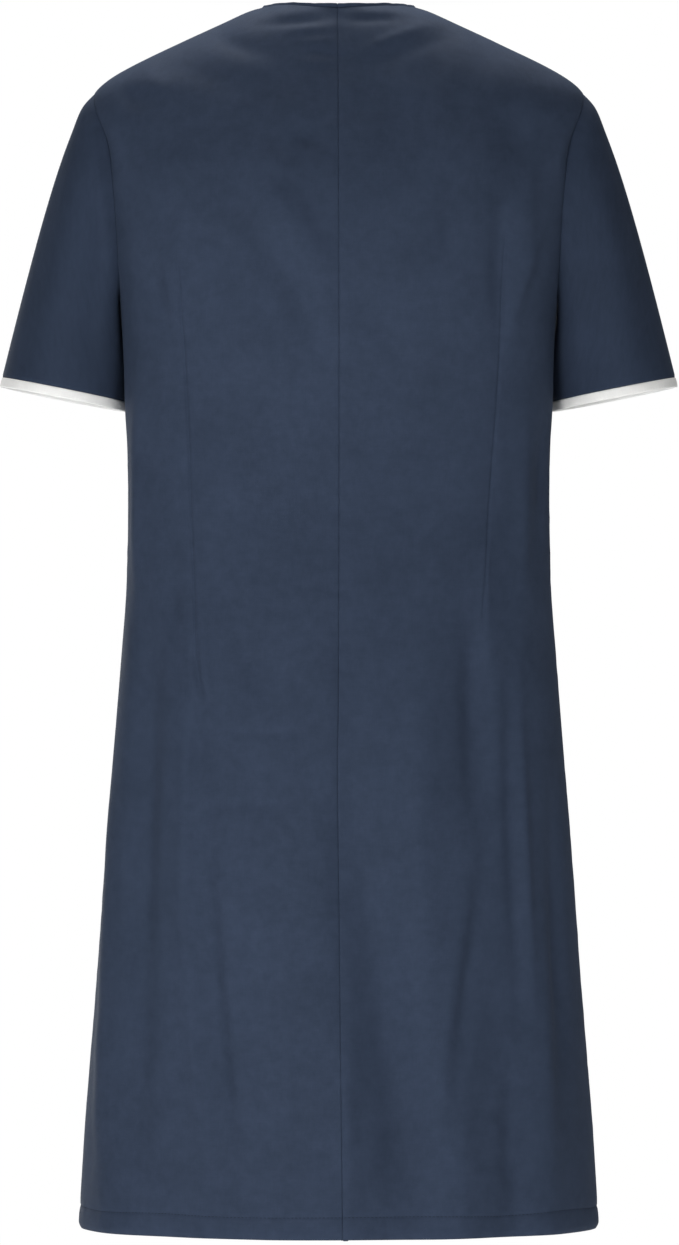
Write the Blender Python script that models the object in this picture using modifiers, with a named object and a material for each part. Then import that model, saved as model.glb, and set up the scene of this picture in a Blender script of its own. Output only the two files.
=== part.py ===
"""Nurse uniform dress, worn form, hollow.

Navy short-sleeved A-line shift dress with a centre-back seam, set-in sleeves,
white cuff bands and a plain V neck in front.  Every piece of cloth is a thin
wall laid on level sections of the filled-out dress.

Frame, metres: origin midway between the two high points of the shoulders,
+X to the wearer's left, +Y to the wearer's back, +Z up.
"""
import math
from collections import namedtuple

import bmesh
import bpy
import numpy as np

# ------------------------------------------------------------------ main sizes
NECK_HALF = 0.064          # half the neck width, shoulder point to shoulder point
BACK_NECK_DIP = 0.0024     # the back neck is nearly level
V_DEPTH = 0.165            # front V neck below the shoulder points
TIP_Z = -0.0752            # top of the armhole
UNDERARM_Z = -0.250
HEM_Z = -1.038
CUFF_CENTRE = (0.2344, -0.037, -0.3255)   # where the sleeve meets its band
CUFF_HALF = (0.0531, 0.062)               # half width across, half width front to back
CUFF_TILT = 0.200          # the cuff drops this much per metre towards the body
BAND_HEIGHT = 0.0085
SHOULDER_SEAM_Y = -0.012   # shoulder seam lies just in front of the ridge

WALL = 0.0015              # cloth wall
BAND_WALL = 0.0019         # folded band
GAP = 0.0003               # between neighbouring pieces at a seam
SHOULDER_GAP = 0.0005      # the shoulder seam lies on a ridge, so its walls lean together

# ------------------------------------------------- level sections of the body
# half_width at the side line; back and front: distance of the centre lines from
# y = 0; side_y: where the widest point lies; roundness 2 is an ellipse, more is
# squarer.
Section = namedtuple(
    "Section", "level half_width back front side_y back_round front_round")
SECTIONS = [
    #        level   width   back    front   side_y  b_rnd  f_rnd
    Section(+0.0000, 0.0640, 0.0580, 0.0220, -0.002, 2.00, 2.00),   # neck points
    Section(-0.0038, 0.0735, 0.0600, 0.0310, -0.002, 2.00, 2.00),
    Section(-0.0191, 0.1067, 0.0665, 0.0500, -0.003, 2.05, 2.05),
    Section(-0.0395, 0.1509, 0.0745, 0.0670, -0.004, 2.10, 2.10),
    Section(-0.0548, 0.1832, 0.0805, 0.0770, -0.004, 2.15, 2.15),
    Section(-0.0650, 0.1994, 0.0845, 0.0830, -0.005, 2.20, 2.20),
    Section(-0.0752, 0.2103, 0.0885, 0.0885, -0.005, 2.15, 2.15),   # shoulder tip
    Section(-0.0850, 0.2140, 0.0922, 0.0930, -0.005, 2.15, 2.15),
    Section(-0.0950, 0.2150, 0.0958, 0.0975, -0.005, 2.15, 2.15),
    Section(-0.1160, 0.2100, 0.1025, 0.1050, -0.005, 2.20, 2.20),
    Section(-0.1500, 0.2020, 0.1105, 0.1145, -0.005, 2.30, 2.25),   # shoulder blades
    Section(-0.1840, 0.1968, 0.1140, 0.1215, -0.005, 2.30, 2.25),
    Section(-0.2200, 0.1918, 0.1130, 0.1275, -0.005, 2.30, 2.25),
    Section(-0.2500, 0.1864, 0.1100, 0.1300, -0.005, 2.30, 2.25),   # underarm, bust
    Section(-0.2960, 0.1830, 0.1040, 0.1270, -0.003, 2.25, 2.20),
    Section(-0.3395, 0.1820, 0.0990, 0.1200, -0.001, 2.20, 2.20),
    Section(-0.3820, 0.1796, 0.0960, 0.1145, +0.000, 2.20, 2.20),
    Section(-0.4246, 0.1792, 0.0965, 0.1120, +0.000, 2.20, 2.20),   # waist
    Section(-0.4883, 0.1803, 0.1040, 0.1125, +0.000, 2.20, 2.15),
    Section(-0.5520, 0.1848, 0.1150, 0.1165, +0.000, 2.15, 2.10),
    Section(-0.6158, 0.1897, 0.1230, 0.1225, +0.000, 2.10, 2.10),   # hips
    Section(-0.7008, 0.1968, 0.1290, 0.1300, +0.000, 2.05, 2.05),
    Section(-0.8283, 0.2060, 0.1380, 0.1415, +0.000, 2.00, 2.00),
    Section(-0.9558, 0.2162, 0.1490, 0.1540, +0.000, 2.00, 2.00),
    Section(-1.0380, 0.2212, 0.1560, 0.1620, +0.000, 2.00, 2.00),   # hem
]

# --------------------------------------------------------------- armhole shape
# seen from the side: an upright rounded loop between shoulder tip and underarm
ARMHOLE_BACK = 0.0462      # reach behind its middle line
ARMHOLE_FRONT = 0.052
ARMHOLE_TOP_Y = SHOULDER_SEAM_Y
ARMHOLE_FOOT_Y = -0.005
ARMHOLE_FULL = 0.72        # below 1 fills the loop towards a rounded oblong
ARMHOLE_HIGH = 0.20        # the back half is fuller at shoulder-blade height

# ---------------------------------------------------------- largest soft folds
# turn: 0 centre back, +1 left side, -1 right side, +-2 centre front.
# height above the plain surface (negative is a trough), width is half its span.
Fold = namedtuple("Fold", "name turn_top z_top turn_foot z_foot width height fade")
FOLDS = [
    Fold("left_skirt_swell", +0.58, -0.62, +0.66, -1.04, 0.034, +0.0030, 0.14),
    Fold("left_skirt_trough", +0.42, -0.60, +0.47, -0.98, 0.026, -0.0030, 0.12),
    Fold("left_mid_ridge", +0.28, -0.66, +0.16, -1.04, 0.026, +0.0030, 0.14),
    Fold("centre_right_trough", -0.04, -0.70, -0.12, -1.04, 0.028, -0.0035, 0.16),
    Fold("right_mid_ridge", -0.24, -0.62, -0.26, -1.04, 0.030, +0.0028, 0.14),
    Fold("right_skirt_trough", -0.40, -0.56, -0.45, -0.96, 0.024, -0.0030, 0.12),
    Fold("right_skirt_ridge", -0.52, -0.64, -0.60, -1.04, 0.026, +0.0028, 0.12),
    Fold("front_left_trough", +1.55, -0.62, +1.48, -1.04, 0.030, -0.0032, 0.16),
    Fold("front_left_ridge", +1.75, -0.66, +1.78, -1.04, 0.030, +0.0028, 0.14),
    Fold("front_centre_trough", -1.94, -0.70, -1.90, -1.04, 0.028, -0.0030, 0.16),
    Fold("front_right_ridge", -1.66, -0.62, -1.60, -1.04, 0.032, +0.0030, 0.14),
    Fold("front_right_trough", -1.42, -0.60, -1.36, -1.00, 0.028, -0.0030, 0.14),
]

# ------------------------------------------------------------------ mesh grids
LOWER_ROWS = 12            # hem to underarm
ARMHOLE_STEPS = 12         # along each half of the armhole
SHOULDER_SHARES = (0.988, 0.9, 0.7, 0.5, 0.3, 0.1, 0.012, 0.0)  # back panel, tip to neck
EDGE_STEP = 0.002          # narrow first facets beside a seam keep its walls parallel
PANEL_COLUMNS = 10         # centre line to side
SLEEVE_ROWS = (0.0, 0.018, 0.07, 0.16, 0.30, 0.50, 0.75, 0.985, 1.0)

NAVY = (0.0343, 0.0470, 0.0762, 1.0)
WHITE = (0.84, 0.84, 0.83, 1.0)


# ------------------------------------------------------------------- functions
def column_curve(levels, values):
    """Smooth curve through a table column that adds no bumps between its rows."""
    order = np.argsort(levels)
    x = np.asarray(levels, float)[order]
    y = np.asarray(values, float)[order]
    step = np.diff(x)
    slope = np.diff(y) / step
    tangent = np.zeros(len(x))
    tangent[0], tangent[-1] = slope[0], slope[-1]
    for k in range(1, len(x) - 1):
        if slope[k - 1] * slope[k] > 0.0:
            a = 2.0 * step[k] + step[k - 1]
            b = step[k] + 2.0 * step[k - 1]
            tangent[k] = (a + b) / (a / slope[k - 1] + b / slope[k])

    def value(at):
        at = np.asarray(at, float)
        k = np.clip(np.searchsorted(x, at) - 1, 0, len(step) - 1)
        t = np.clip((at - x[k]) / step[k], 0.0, 1.0)
        return ((1 + 2 * t) * (1 - t) ** 2 * y[k]
                + t * (1 - t) ** 2 * step[k] * tangent[k]
                + t * t * (3 - 2 * t) * y[k + 1]
                + t * t * (t - 1) * step[k] * tangent[k + 1])
    return value


LEVELS = [s.level for s in SECTIONS]
CURVE = {name: column_curve(LEVELS, [getattr(s, name) for s in SECTIONS])
         for name in Section._fields[1:]}


def half_section(turn, z):
    """Section numbers that apply at this turn (0 back ... 1 side ... 2 front)."""
    behind = turn <= 1.0
    width = CURVE["half_width"](z)
    side_y = CURVE["side_y"](z)
    depth = np.where(behind, CURVE["back"](z) - side_y, CURVE["front"](z) + side_y)
    power = np.where(behind, CURVE["back_round"](z), CURVE["front_round"](z))
    return width, side_y, depth, power


def smooth_step(t):
    t = np.clip(t, 0.0, 1.0)
    return t * t * (3.0 - 2.0 * t)


def fold_height(side, turn, z):
    """Height of all large folds at a place on the dress."""
    signed = side * turn
    width = CURVE["half_width"](z)
    metres_per_turn = 1.05 * (width + CURVE["back"](z)) * math.pi / 4.0
    total = np.zeros(np.broadcast(signed, z).shape)
    for f in FOLDS:
        along = np.clip((z - f.z_top) / (f.z_foot - f.z_top), 0.0, 1.0)
        middle = f.turn_top + (f.turn_foot - f.turn_top) * along
        away = signed - middle
        away = (away + 2.0) % 4.0 - 2.0
        away = away * metres_per_turn / f.width
        fade = smooth_step((f.z_top + 0.5 * f.fade - z) / f.fade)
        total = total + f.height * fade * np.exp(-away * away)
    return total


def body(side, turn, z):
    """Point of the dress's outer surface; side +1 is the wearer's left."""
    turn = np.asarray(turn, float)
    z = np.asarray(z, float)
    width, side_y, depth, power = half_section(turn, z)
    s = np.abs(np.sin(turn * math.pi / 2.0))
    c = np.abs(np.cos(turn * math.pi / 2.0))
    radius = (s ** power + c ** power) ** (-1.0 / power)
    sign = np.where(turn <= 1.0, 1.0, -1.0)
    x_part, y_part = s * radius, c * radius
    nx = x_part ** (power - 1.0) / width
    ny = sign * y_part ** (power - 1.0) / depth
    length = np.sqrt(nx * nx + ny * ny)
    lift = fold_height(side, turn, z)
    x = width * x_part + lift * nx / length
    y = side_y + depth * sign * y_part + lift * ny / length
    return np.stack([side * x, y, z + 0.0 * x], axis=-1)


def turn_at_y(y, z):
    """Turn of the surface point near the side that has this y."""
    back = y >= CURVE["side_y"](z)
    width, side_y, depth, power = half_section(np.where(back, 0.5, 1.5), z)
    c = np.clip(np.abs(y - side_y) / depth, 0.0, 1.0)
    s = (1.0 - c ** power) ** (1.0 / power)
    angle = np.arctan2(s, np.where(back, c, -c))
    return angle / (math.pi / 2.0)


def turn_at_front_x(x, z):
    """Turn of the front surface point that has this distance from the middle."""
    width, side_y, depth, power = half_section(np.full_like(z, 1.5), z)
    s = np.clip(x / width, 0.0, 1.0)
    c = (1.0 - s ** power) ** (1.0 / power)
    return np.arctan2(s, -c) / (math.pi / 2.0)


# ----- lines of the cut, as (turn, z)
def armhole(angle):
    """angle 0 at the shoulder tip, pi at the underarm, past pi along the front."""
    angle = np.asarray(angle, float)
    middle = 0.5 * (TIP_Z + UNDERARM_Z)
    z = middle + 0.5 * (TIP_Z - UNDERARM_Z) * np.cos(angle)
    s = np.sin(angle)
    reach = np.where(s >= 0.0, ARMHOLE_BACK * (1.0 + ARMHOLE_HIGH * np.cos(angle)),
                     ARMHOLE_FRONT)
    base = ARMHOLE_FOOT_Y + (ARMHOLE_TOP_Y - ARMHOLE_FOOT_Y) * 0.5 * (1 + np.cos(angle))
    y = base + reach * np.sign(s) * np.abs(s) ** ARMHOLE_FULL
    return turn_at_y(y, z), z


def shoulder_seam(z):
    """Turn of the shoulder seam at a height between armhole top and neck."""
    share = np.clip(z / TIP_Z, 0.0, 1.0)
    y = -0.003 + (SHOULDER_SEAM_Y + 0.003) * np.sqrt(share)
    return turn_at_y(y, z)


def armhole_angles():
    """Tip to underarm, evenly along the cut edge, with a narrow step at each end."""
    fine = np.linspace(0.0, math.pi, 2001)
    turn, z = armhole(fine)
    p = body(+1, turn, z)
    run = np.concatenate([[0.0], np.cumsum(np.linalg.norm(np.diff(p, axis=0), axis=1))])
    even = np.linspace(0.0, run[-1], ARMHOLE_STEPS + 1)
    wanted = np.concatenate(
        [[0.0, EDGE_STEP], even[1:-1], [run[-1] - EDGE_STEP, run[-1]]])
    return np.interp(wanted, run, fine)


BACK_ANGLES = armhole_angles()                  # 0 ... pi
COLUMN_SHARES = np.concatenate(
    [[0.0, 0.012], np.linspace(0.0, 1.0, PANEL_COLUMNS + 1)[1:-1], [0.988, 1.0]])
LOWER_LEVELS = np.concatenate(
    [[HEM_Z, HEM_Z + 0.003], np.linspace(HEM_Z, UNDERARM_Z, LOWER_ROWS + 1)[1:]])


def armhole_frame(side, angles):
    """Armhole edge point, direction from the panel into the hole, outward normal."""
    angles = np.asarray(angles, float)
    step = 1e-4
    turn, z = armhole(angles)
    at = body(side, turn, z)
    tangent = body(side, *armhole(angles + step)) - body(side, *armhole(angles - step))
    tangent /= np.linalg.norm(tangent, axis=-1, keepdims=True)
    middle_z = 0.5 * (TIP_Z + UNDERARM_Z)
    inside = body(side, turn + 0.04 * (turn - 1.0), z + 0.04 * (z - middle_z))
    into = at - inside
    into -= tangent * np.sum(into * tangent, axis=-1, keepdims=True)
    into /= np.linalg.norm(into, axis=-1, keepdims=True)
    normal = np.cross(tangent, into)
    normal *= np.sign(normal[..., :1] * side)
    return at, into, normal


def set_back(points, neighbours, gap=GAP):
    """Shift that moves seam points square to their seam by half its gap."""
    along = np.gradient(points, axis=0)
    along /= np.linalg.norm(along, axis=-1, keepdims=True)
    d = neighbours - points
    d -= along * np.sum(d * along, axis=-1, keepdims=True)
    return d / np.linalg.norm(d, axis=-1, keepdims=True) * 0.5 * gap


def row_levels(left_z, right_z, bend, share):
    """Height along one row of a panel.

    Near the side the row swings down to the underarm corner, or up to the
    shoulder tip, by bend (metres per metre), so that it meets both edges there
    at a fair angle.
    """
    swing = bend * 0.30 * (1.0 - share) * share ** 8
    return left_z + (right_z - left_z) * share ** 2 + swing


def lower_bend(z):
    return -np.exp(-((z - UNDERARM_Z) / 0.055) ** 2)


def back_points(side):
    """Rows from the hem to the neck, columns from centre back to the side."""
    share = COLUMN_SHARES
    rows = []
    for z in LOWER_LEVELS:
        rows.append(body(side, share, row_levels(z, z, lower_bend(z), share)))
    tip_left_z = 0.80 * TIP_Z
    for a in BACK_ANGLES[::-1][1:]:
        turn, z = armhole(a)
        way = 1.0 - a / math.pi
        left_z = UNDERARM_Z + (tip_left_z - UNDERARM_Z) * way
        level = row_levels(left_z, float(z), math.cos(a), share)
        rows.append(body(side, share * float(turn), level))
    for way in SHOULDER_SHARES:
        z = TIP_Z * way
        level = row_levels(tip_left_z * way, z, way ** 2, share)
        turn = share * shoulder_seam(level)
        turn[-1] = float(shoulder_seam(np.array(z)))
        p = body(side, turn, level)
        fade = smooth_step((level + 0.03) / 0.03)
        across = np.clip(np.abs(p[:, 0]) / NECK_HALF, 0.0, 1.0)
        p[:, 2] -= BACK_NECK_DIP * fade * (1.0 - across ** 2)
        rows.append(p)
    p = np.array(rows)
    lower = len(LOWER_LEVELS)
    tip = lower + len(BACK_ANGLES) - 2
    centre_shift = set_back(p[:, 0], p[:, 1])
    side_shift = np.zeros_like(centre_shift)
    side_shift[:lower] = set_back(p[:lower, -1], p[:lower, -2])
    side_shift[tip:] = set_back(p[tip:, -1], p[tip:, -2], SHOULDER_GAP)
    at, into, normal = armhole_frame(side, BACK_ANGLES[::-1])
    side_shift[lower - 1:tip + 1] -= into * 0.5 * GAP
    p[:, 0] += centre_shift
    p[:, -1] += side_shift
    return p


def front_points(side):
    """Rows from the hem to the shoulder seam, columns from centre front to the side."""
    share = COLUMN_SHARES
    rows = []
    for z in LOWER_LEVELS:
        rows.append(body(side, 2.0 - share, row_levels(z, z, lower_bend(z), share)))
    angles = BACK_ANGLES[::-1]
    count = len(angles) - 1
    # left ends of the rows: up the centre line, then along the V neck edge
    up = 4
    centre = np.linspace(UNDERARM_Z, -V_DEPTH, up + 1)
    edge_z = np.linspace(-V_DEPTH, 0.0, 401)
    edge_x = NECK_HALF * (1.0 + edge_z / V_DEPTH)
    edge_turn = turn_at_front_x(edge_x, edge_z)
    edge = body(+1, edge_turn, edge_z)
    run = np.concatenate([[0.0], np.cumsum(np.linalg.norm(np.diff(edge, axis=0), axis=1))])
    along = np.linspace(0.0, 1.0, count - up)
    along = np.concatenate([along[:-1], [0.992, 1.0]])
    left_z = np.concatenate([centre[:-1], np.interp(along * run[-1], run, edge_z)])
    left_turn = np.concatenate([np.full(up, 2.0), np.interp(along * run[-1], run, edge_turn)])
    left_turn[-1] = float(shoulder_seam(np.array(0.0)))
    top_z = left_z[-1] + (TIP_Z - left_z[-1]) * share
    top_line = left_turn[-1] + (float(armhole(0.0)[0]) - left_turn[-1]) * share
    top_shift = shoulder_seam(top_z) - top_line
    for k in range(1, count + 1):
        right_turn, right_z = armhole(-angles[k])
        way = k / count
        straight = left_z[k] + (float(right_z) - left_z[k]) * share
        curved = row_levels(left_z[k], float(right_z), min(0.0, math.cos(angles[k])), share)
        z = curved + (straight - curved) * smooth_step(way)
        turn = left_turn[k] + (float(right_turn) - left_turn[k]) * share
        turn = turn + top_shift * way ** 4
        rows.append(body(side, turn, z))
    p = np.array(rows)
    middle = np.abs(p[:, 0, 0]) < 1e-6
    p[middle, 0, 0] = 0.0
    lower = len(LOWER_LEVELS)
    side_shift = np.zeros_like(p[:, -1])
    side_shift[:lower] = set_back(p[:lower, -1], p[:lower, -2])
    at, into, normal = armhole_frame(side, 2.0 * math.pi - BACK_ANGLES[::-1])
    side_shift[lower - 1:] -= into * 0.5 * GAP
    top_shift = set_back(p[-1], p[-2], SHOULDER_GAP)
    p[:, -1] += side_shift
    p[-1] += top_shift
    return p


def sleeve_start(side, angles):
    """Armhole edge points and the direction in which the sleeve leaves them."""
    at, into, normal = armhole_frame(side, angles)
    low = 0.5 * (1.0 - np.cos(angles))                  # 0 at the tip, 1 underarm
    lean = np.radians(96.0 * low ** 0.55 + 44.0 * low ** 6)
    out = np.cos(lean)[:, None] * into + np.sin(lean)[:, None] * normal
    return at, out


def cuff_loop(side, angles, grow=0.0):
    cx, cy, cz = CUFF_CENTRE
    x = cx + (CUFF_HALF[0] + grow) * np.cos(angles)
    y = cy + (CUFF_HALF[1] + grow) * np.sin(angles)
    z = cz + CUFF_TILT * (x - cx)
    return np.stack([side * x, y, z], axis=-1)


def sleeve_points(side):
    """Rows from armhole to cuff, columns once round, first and last coincide."""
    angles = np.concatenate([BACK_ANGLES, 2 * math.pi - BACK_ANGLES[::-1][1:]])
    at, out = sleeve_start(side, angles)
    start = at + out * 0.5 * GAP
    end = cuff_loop(side, angles)
    top = 0.5 * (1.0 + np.cos(angles))[:, None]         # 1 at the tip, 0 underarm
    lead = out * (0.024 + 0.086 * top)
    axis = np.array([side * CUFF_TILT, 0.0, -1.0])
    axis /= np.linalg.norm(axis)
    outward = np.cos(angles)[:, None] * np.array([side * 1.0, 0.0, 0.0])
    tail = (axis + 0.045 * outward) * (0.075 + 0.185 * top)
    rows = []
    for t in SLEEVE_ROWS:
        rows.append((1 + 2 * t) * (1 - t) ** 2 * start + t * (1 - t) ** 2 * lead
                    + t * t * (3 - 2 * t) * end + t * t * (t - 1) * tail)
    p = np.array(rows)
    p[:, -1] = p[:, 0]
    return p


def band_points(side):
    """The cuff band carries on from the sleeve's end."""
    angles = np.concatenate([BACK_ANGLES, 2 * math.pi - BACK_ANGLES[::-1][1:]])
    axis = np.array([side * CUFF_TILT, 0.0, -1.0])
    axis /= np.linalg.norm(axis)
    outward = np.cos(angles)[:, None] * np.array([side * 1.0, 0.0, 0.0])
    rows = []
    for drop in (GAP, BAND_HEIGHT):
        loop = cuff_loop(side, angles, grow=0.0003)
        rows.append(loop + (axis + 0.045 * outward) * drop)
    p = np.array(rows)
    p[:, -1] = p[:, 0]
    return p


# ------------------------------------------------------------- building pieces
def clear_scene():
    for ob in list(bpy.data.objects):
        bpy.data.objects.remove(ob, do_unlink=True)
    for mesh in list(bpy.data.meshes):
        bpy.data.meshes.remove(mesh)


def cloth_material(name, colour, roughness):
    material = bpy.data.materials.new(name)
    material.use_nodes = True
    shader = material.node_tree.nodes["Principled BSDF"]
    shader.inputs["Base Color"].default_value = colour
    shader.inputs["Roughness"].default_value = roughness
    shader.inputs["Metallic"].default_value = 0.0
    material.diffuse_color = colour
    return material


def cloth_piece(name, halves, material, parent, collection, wall):
    """Grids laid on their points, joined where they meet, then given thickness.

    halves: (points, turn over) for each grid; points is rows x columns x 3.
    """
    bm = bmesh.new()
    for points, turn_over in halves:
        rows, columns = points.shape[0] - 1, points.shape[1] - 1
        made = bmesh.ops.create_grid(bm, x_segments=columns, y_segments=rows, size=0.5)
        for vert in made["verts"]:
            i = round((vert.co.x + 0.5) * columns)
            j = round((vert.co.y + 0.5) * rows)
            vert.co = points[j, i]
        if turn_over:
            faces = list({face for vert in made["verts"] for face in vert.link_faces})
            bmesh.ops.reverse_faces(bm, faces=faces)
    bmesh.ops.remove_doubles(bm, verts=bm.verts, dist=1e-6)
    mesh = bpy.data.meshes.new(name)
    bm.to_mesh(mesh)
    bm.free()
    mesh.shade_smooth()
    mesh.materials.append(material)
    ob = bpy.data.objects.new(name, mesh)
    collection.objects.link(ob)
    ob.parent = parent
    solid = ob.modifiers.new("cloth", "SOLIDIFY")
    solid.thickness = wall
    solid.offset = -1.0
    solid.use_even_offset = True
    solid.use_rim = True
    return ob


def main():
    clear_scene()
    collection = bpy.data.collections.new("nurse_uniform_dress")
    bpy.context.scene.collection.children.link(collection)
    holder = bpy.data.objects.new("worn_frame", None)
    holder.empty_display_size = 0.05
    collection.objects.link(holder)

    navy = cloth_material("navy_fabric", NAVY, 0.85)
    white = cloth_material("white_band_fabric", WHITE, 0.80)

    cloth_piece("back_left", [(back_points(+1), True)], navy, holder, collection, WALL)
    cloth_piece("back_right", [(back_points(-1), False)], navy, holder, collection, WALL)
    cloth_piece("front", [(front_points(+1), False), (front_points(-1), True)],
                navy, holder, collection, WALL)
    for name, side in (("left", +1), ("right", -1)):
        cloth_piece("sleeve_" + name, [(sleeve_points(side), side > 0)],
                    navy, holder, collection, WALL)
        cloth_piece("cuff_band_" + name, [(band_points(side), side > 0)],
                    white, holder, collection, BAND_WALL)


main()
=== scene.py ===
"""Looks of the nurse uniform dress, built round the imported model.

Each panel is a thin closed shell on the solid's own form, with seams, darts,
hem, creases and stitches modelled in metres.  Frame: origin midway between the
shoulder points, +X wearer's left, +Y wearer's back, +Z up.
"""
import math
from collections import namedtuple

import bpy
import numpy as np
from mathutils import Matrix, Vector


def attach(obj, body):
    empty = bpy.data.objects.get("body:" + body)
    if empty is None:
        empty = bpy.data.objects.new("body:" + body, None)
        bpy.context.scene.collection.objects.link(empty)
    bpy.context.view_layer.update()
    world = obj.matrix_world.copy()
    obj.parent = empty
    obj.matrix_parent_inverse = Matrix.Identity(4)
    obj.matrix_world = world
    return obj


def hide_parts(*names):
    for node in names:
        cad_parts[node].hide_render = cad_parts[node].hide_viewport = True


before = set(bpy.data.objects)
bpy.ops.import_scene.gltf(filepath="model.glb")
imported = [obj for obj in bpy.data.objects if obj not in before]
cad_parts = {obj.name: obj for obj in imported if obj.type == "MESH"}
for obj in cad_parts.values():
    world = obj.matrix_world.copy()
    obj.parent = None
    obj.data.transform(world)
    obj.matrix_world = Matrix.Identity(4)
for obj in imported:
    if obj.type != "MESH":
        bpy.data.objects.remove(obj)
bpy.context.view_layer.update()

# =============================================================== sizes of the cut
NECK_HALF = 0.064
BACK_NECK_DIP = 0.0024
V_DEPTH = 0.165
TIP_Z = -0.0752
UNDERARM_Z = -0.250
HEM_Z = -1.038
CUFF_CENTRE = (0.2344, -0.037, -0.3255)
CUFF_HALF = (0.0531, 0.062)
CUFF_TILT = 0.200
BAND_HEIGHT = 0.0085
SHOULDER_SEAM_Y = -0.012
GAP = 0.0003

CLOTH = 0.0006             # one layer of the navy cloth
TURNED = 0.0011            # two layers, at the hem and the neck
HEM_DEPTH = 0.0186         # hem stitch line above the edge

Section = namedtuple(
    "Section", "level half_width back front side_y back_round front_round")
SECTIONS = [
    #        level   width   back    front   side_y  b_rnd  f_rnd
    Section(+0.0000, 0.0640, 0.0580, 0.0220, -0.002, 2.00, 2.00),
    Section(-0.0038, 0.0735, 0.0600, 0.0310, -0.002, 2.00, 2.00),
    Section(-0.0191, 0.1067, 0.0665, 0.0500, -0.003, 2.05, 2.05),
    Section(-0.0395, 0.1509, 0.0745, 0.0670, -0.004, 2.10, 2.10),
    Section(-0.0548, 0.1832, 0.0805, 0.0770, -0.004, 2.15, 2.15),
    Section(-0.0650, 0.1994, 0.0845, 0.0830, -0.005, 2.20, 2.20),
    Section(-0.0752, 0.2103, 0.0885, 0.0885, -0.005, 2.15, 2.15),
    Section(-0.0850, 0.2140, 0.0922, 0.0930, -0.005, 2.15, 2.15),
    Section(-0.0950, 0.2150, 0.0958, 0.0975, -0.005, 2.15, 2.15),
    Section(-0.1160, 0.2100, 0.1025, 0.1050, -0.005, 2.20, 2.20),
    Section(-0.1500, 0.2020, 0.1105, 0.1145, -0.005, 2.30, 2.25),
    Section(-0.1840, 0.1968, 0.1140, 0.1215, -0.005, 2.30, 2.25),
    Section(-0.2200, 0.1918, 0.1130, 0.1275, -0.005, 2.30, 2.25),
    Section(-0.2500, 0.1864, 0.1100, 0.1300, -0.005, 2.30, 2.25),
    Section(-0.2960, 0.1830, 0.1040, 0.1270, -0.003, 2.25, 2.20),
    Section(-0.3395, 0.1820, 0.0990, 0.1200, -0.001, 2.20, 2.20),
    Section(-0.3820, 0.1796, 0.0960, 0.1145, +0.000, 2.20, 2.20),
    Section(-0.4246, 0.1792, 0.0965, 0.1120, +0.000, 2.20, 2.20),
    Section(-0.4883, 0.1803, 0.1040, 0.1125, +0.000, 2.20, 2.15),
    Section(-0.5520, 0.1848, 0.1150, 0.1165, +0.000, 2.15, 2.10),
    Section(-0.6158, 0.1897, 0.1230, 0.1225, +0.000, 2.10, 2.10),
    Section(-0.7008, 0.1968, 0.1290, 0.1300, +0.000, 2.05, 2.05),
    Section(-0.8283, 0.2060, 0.1380, 0.1415, +0.000, 2.00, 2.00),
    Section(-0.9558, 0.2162, 0.1490, 0.1540, +0.000, 2.00, 2.00),
    Section(-1.0380, 0.2212, 0.1560, 0.1620, +0.000, 2.00, 2.00),
]

ARMHOLE_BACK = 0.0462
ARMHOLE_FRONT = 0.052
ARMHOLE_TOP_Y = SHOULDER_SEAM_Y
ARMHOLE_FOOT_Y = -0.005
ARMHOLE_FULL = 0.72
ARMHOLE_HIGH = 0.20

Fold = namedtuple("Fold", "name turn_top z_top turn_foot z_foot width height fade")
FOLDS = [
    Fold("left_skirt_swell", +0.58, -0.62, +0.66, -1.04, 0.034, +0.0030, 0.14),
    Fold("left_skirt_trough", +0.42, -0.60, +0.47, -0.98, 0.026, -0.0030, 0.12),
    Fold("left_mid_ridge", +0.28, -0.66, +0.16, -1.04, 0.026, +0.0030, 0.14),
    Fold("centre_right_trough", -0.04, -0.70, -0.12, -1.04, 0.028, -0.0035, 0.16),
    Fold("right_mid_ridge", -0.24, -0.62, -0.26, -1.04, 0.030, +0.0028, 0.14),
    Fold("right_skirt_trough", -0.40, -0.56, -0.45, -0.96, 0.024, -0.0030, 0.12),
    Fold("right_skirt_ridge", -0.52, -0.64, -0.60, -1.04, 0.026, +0.0028, 0.12),
    Fold("front_left_trough", +1.55, -0.62, +1.48, -1.04, 0.030, -0.0032, 0.16),
    Fold("front_left_ridge", +1.75, -0.66, +1.78, -1.04, 0.030, +0.0028, 0.14),
    Fold("front_centre_trough", -1.94, -0.70, -1.90, -1.04, 0.028, -0.0030, 0.16),
    Fold("front_right_ridge", -1.66, -0.62, -1.60, -1.04, 0.032, +0.0030, 0.14),
    Fold("front_right_trough", -1.42, -0.60, -1.36, -1.00, 0.028, -0.0030, 0.14),
]

# ------------------------------------------------------------------ mesh grids
HEM_ROWS = 27              # one a millimetre, for the turned hem
BACK_LOWER_ROWS = 250
FRONT_LOWER_ROWS = 205
ARM_ROWS = 84
TOP_ROWS = 44
BACK_COLUMNS = 100
FRONT_COLUMNS = 66
SLEEVE_COLUMNS = 168
SLEEVE_ROWS = 104

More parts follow.
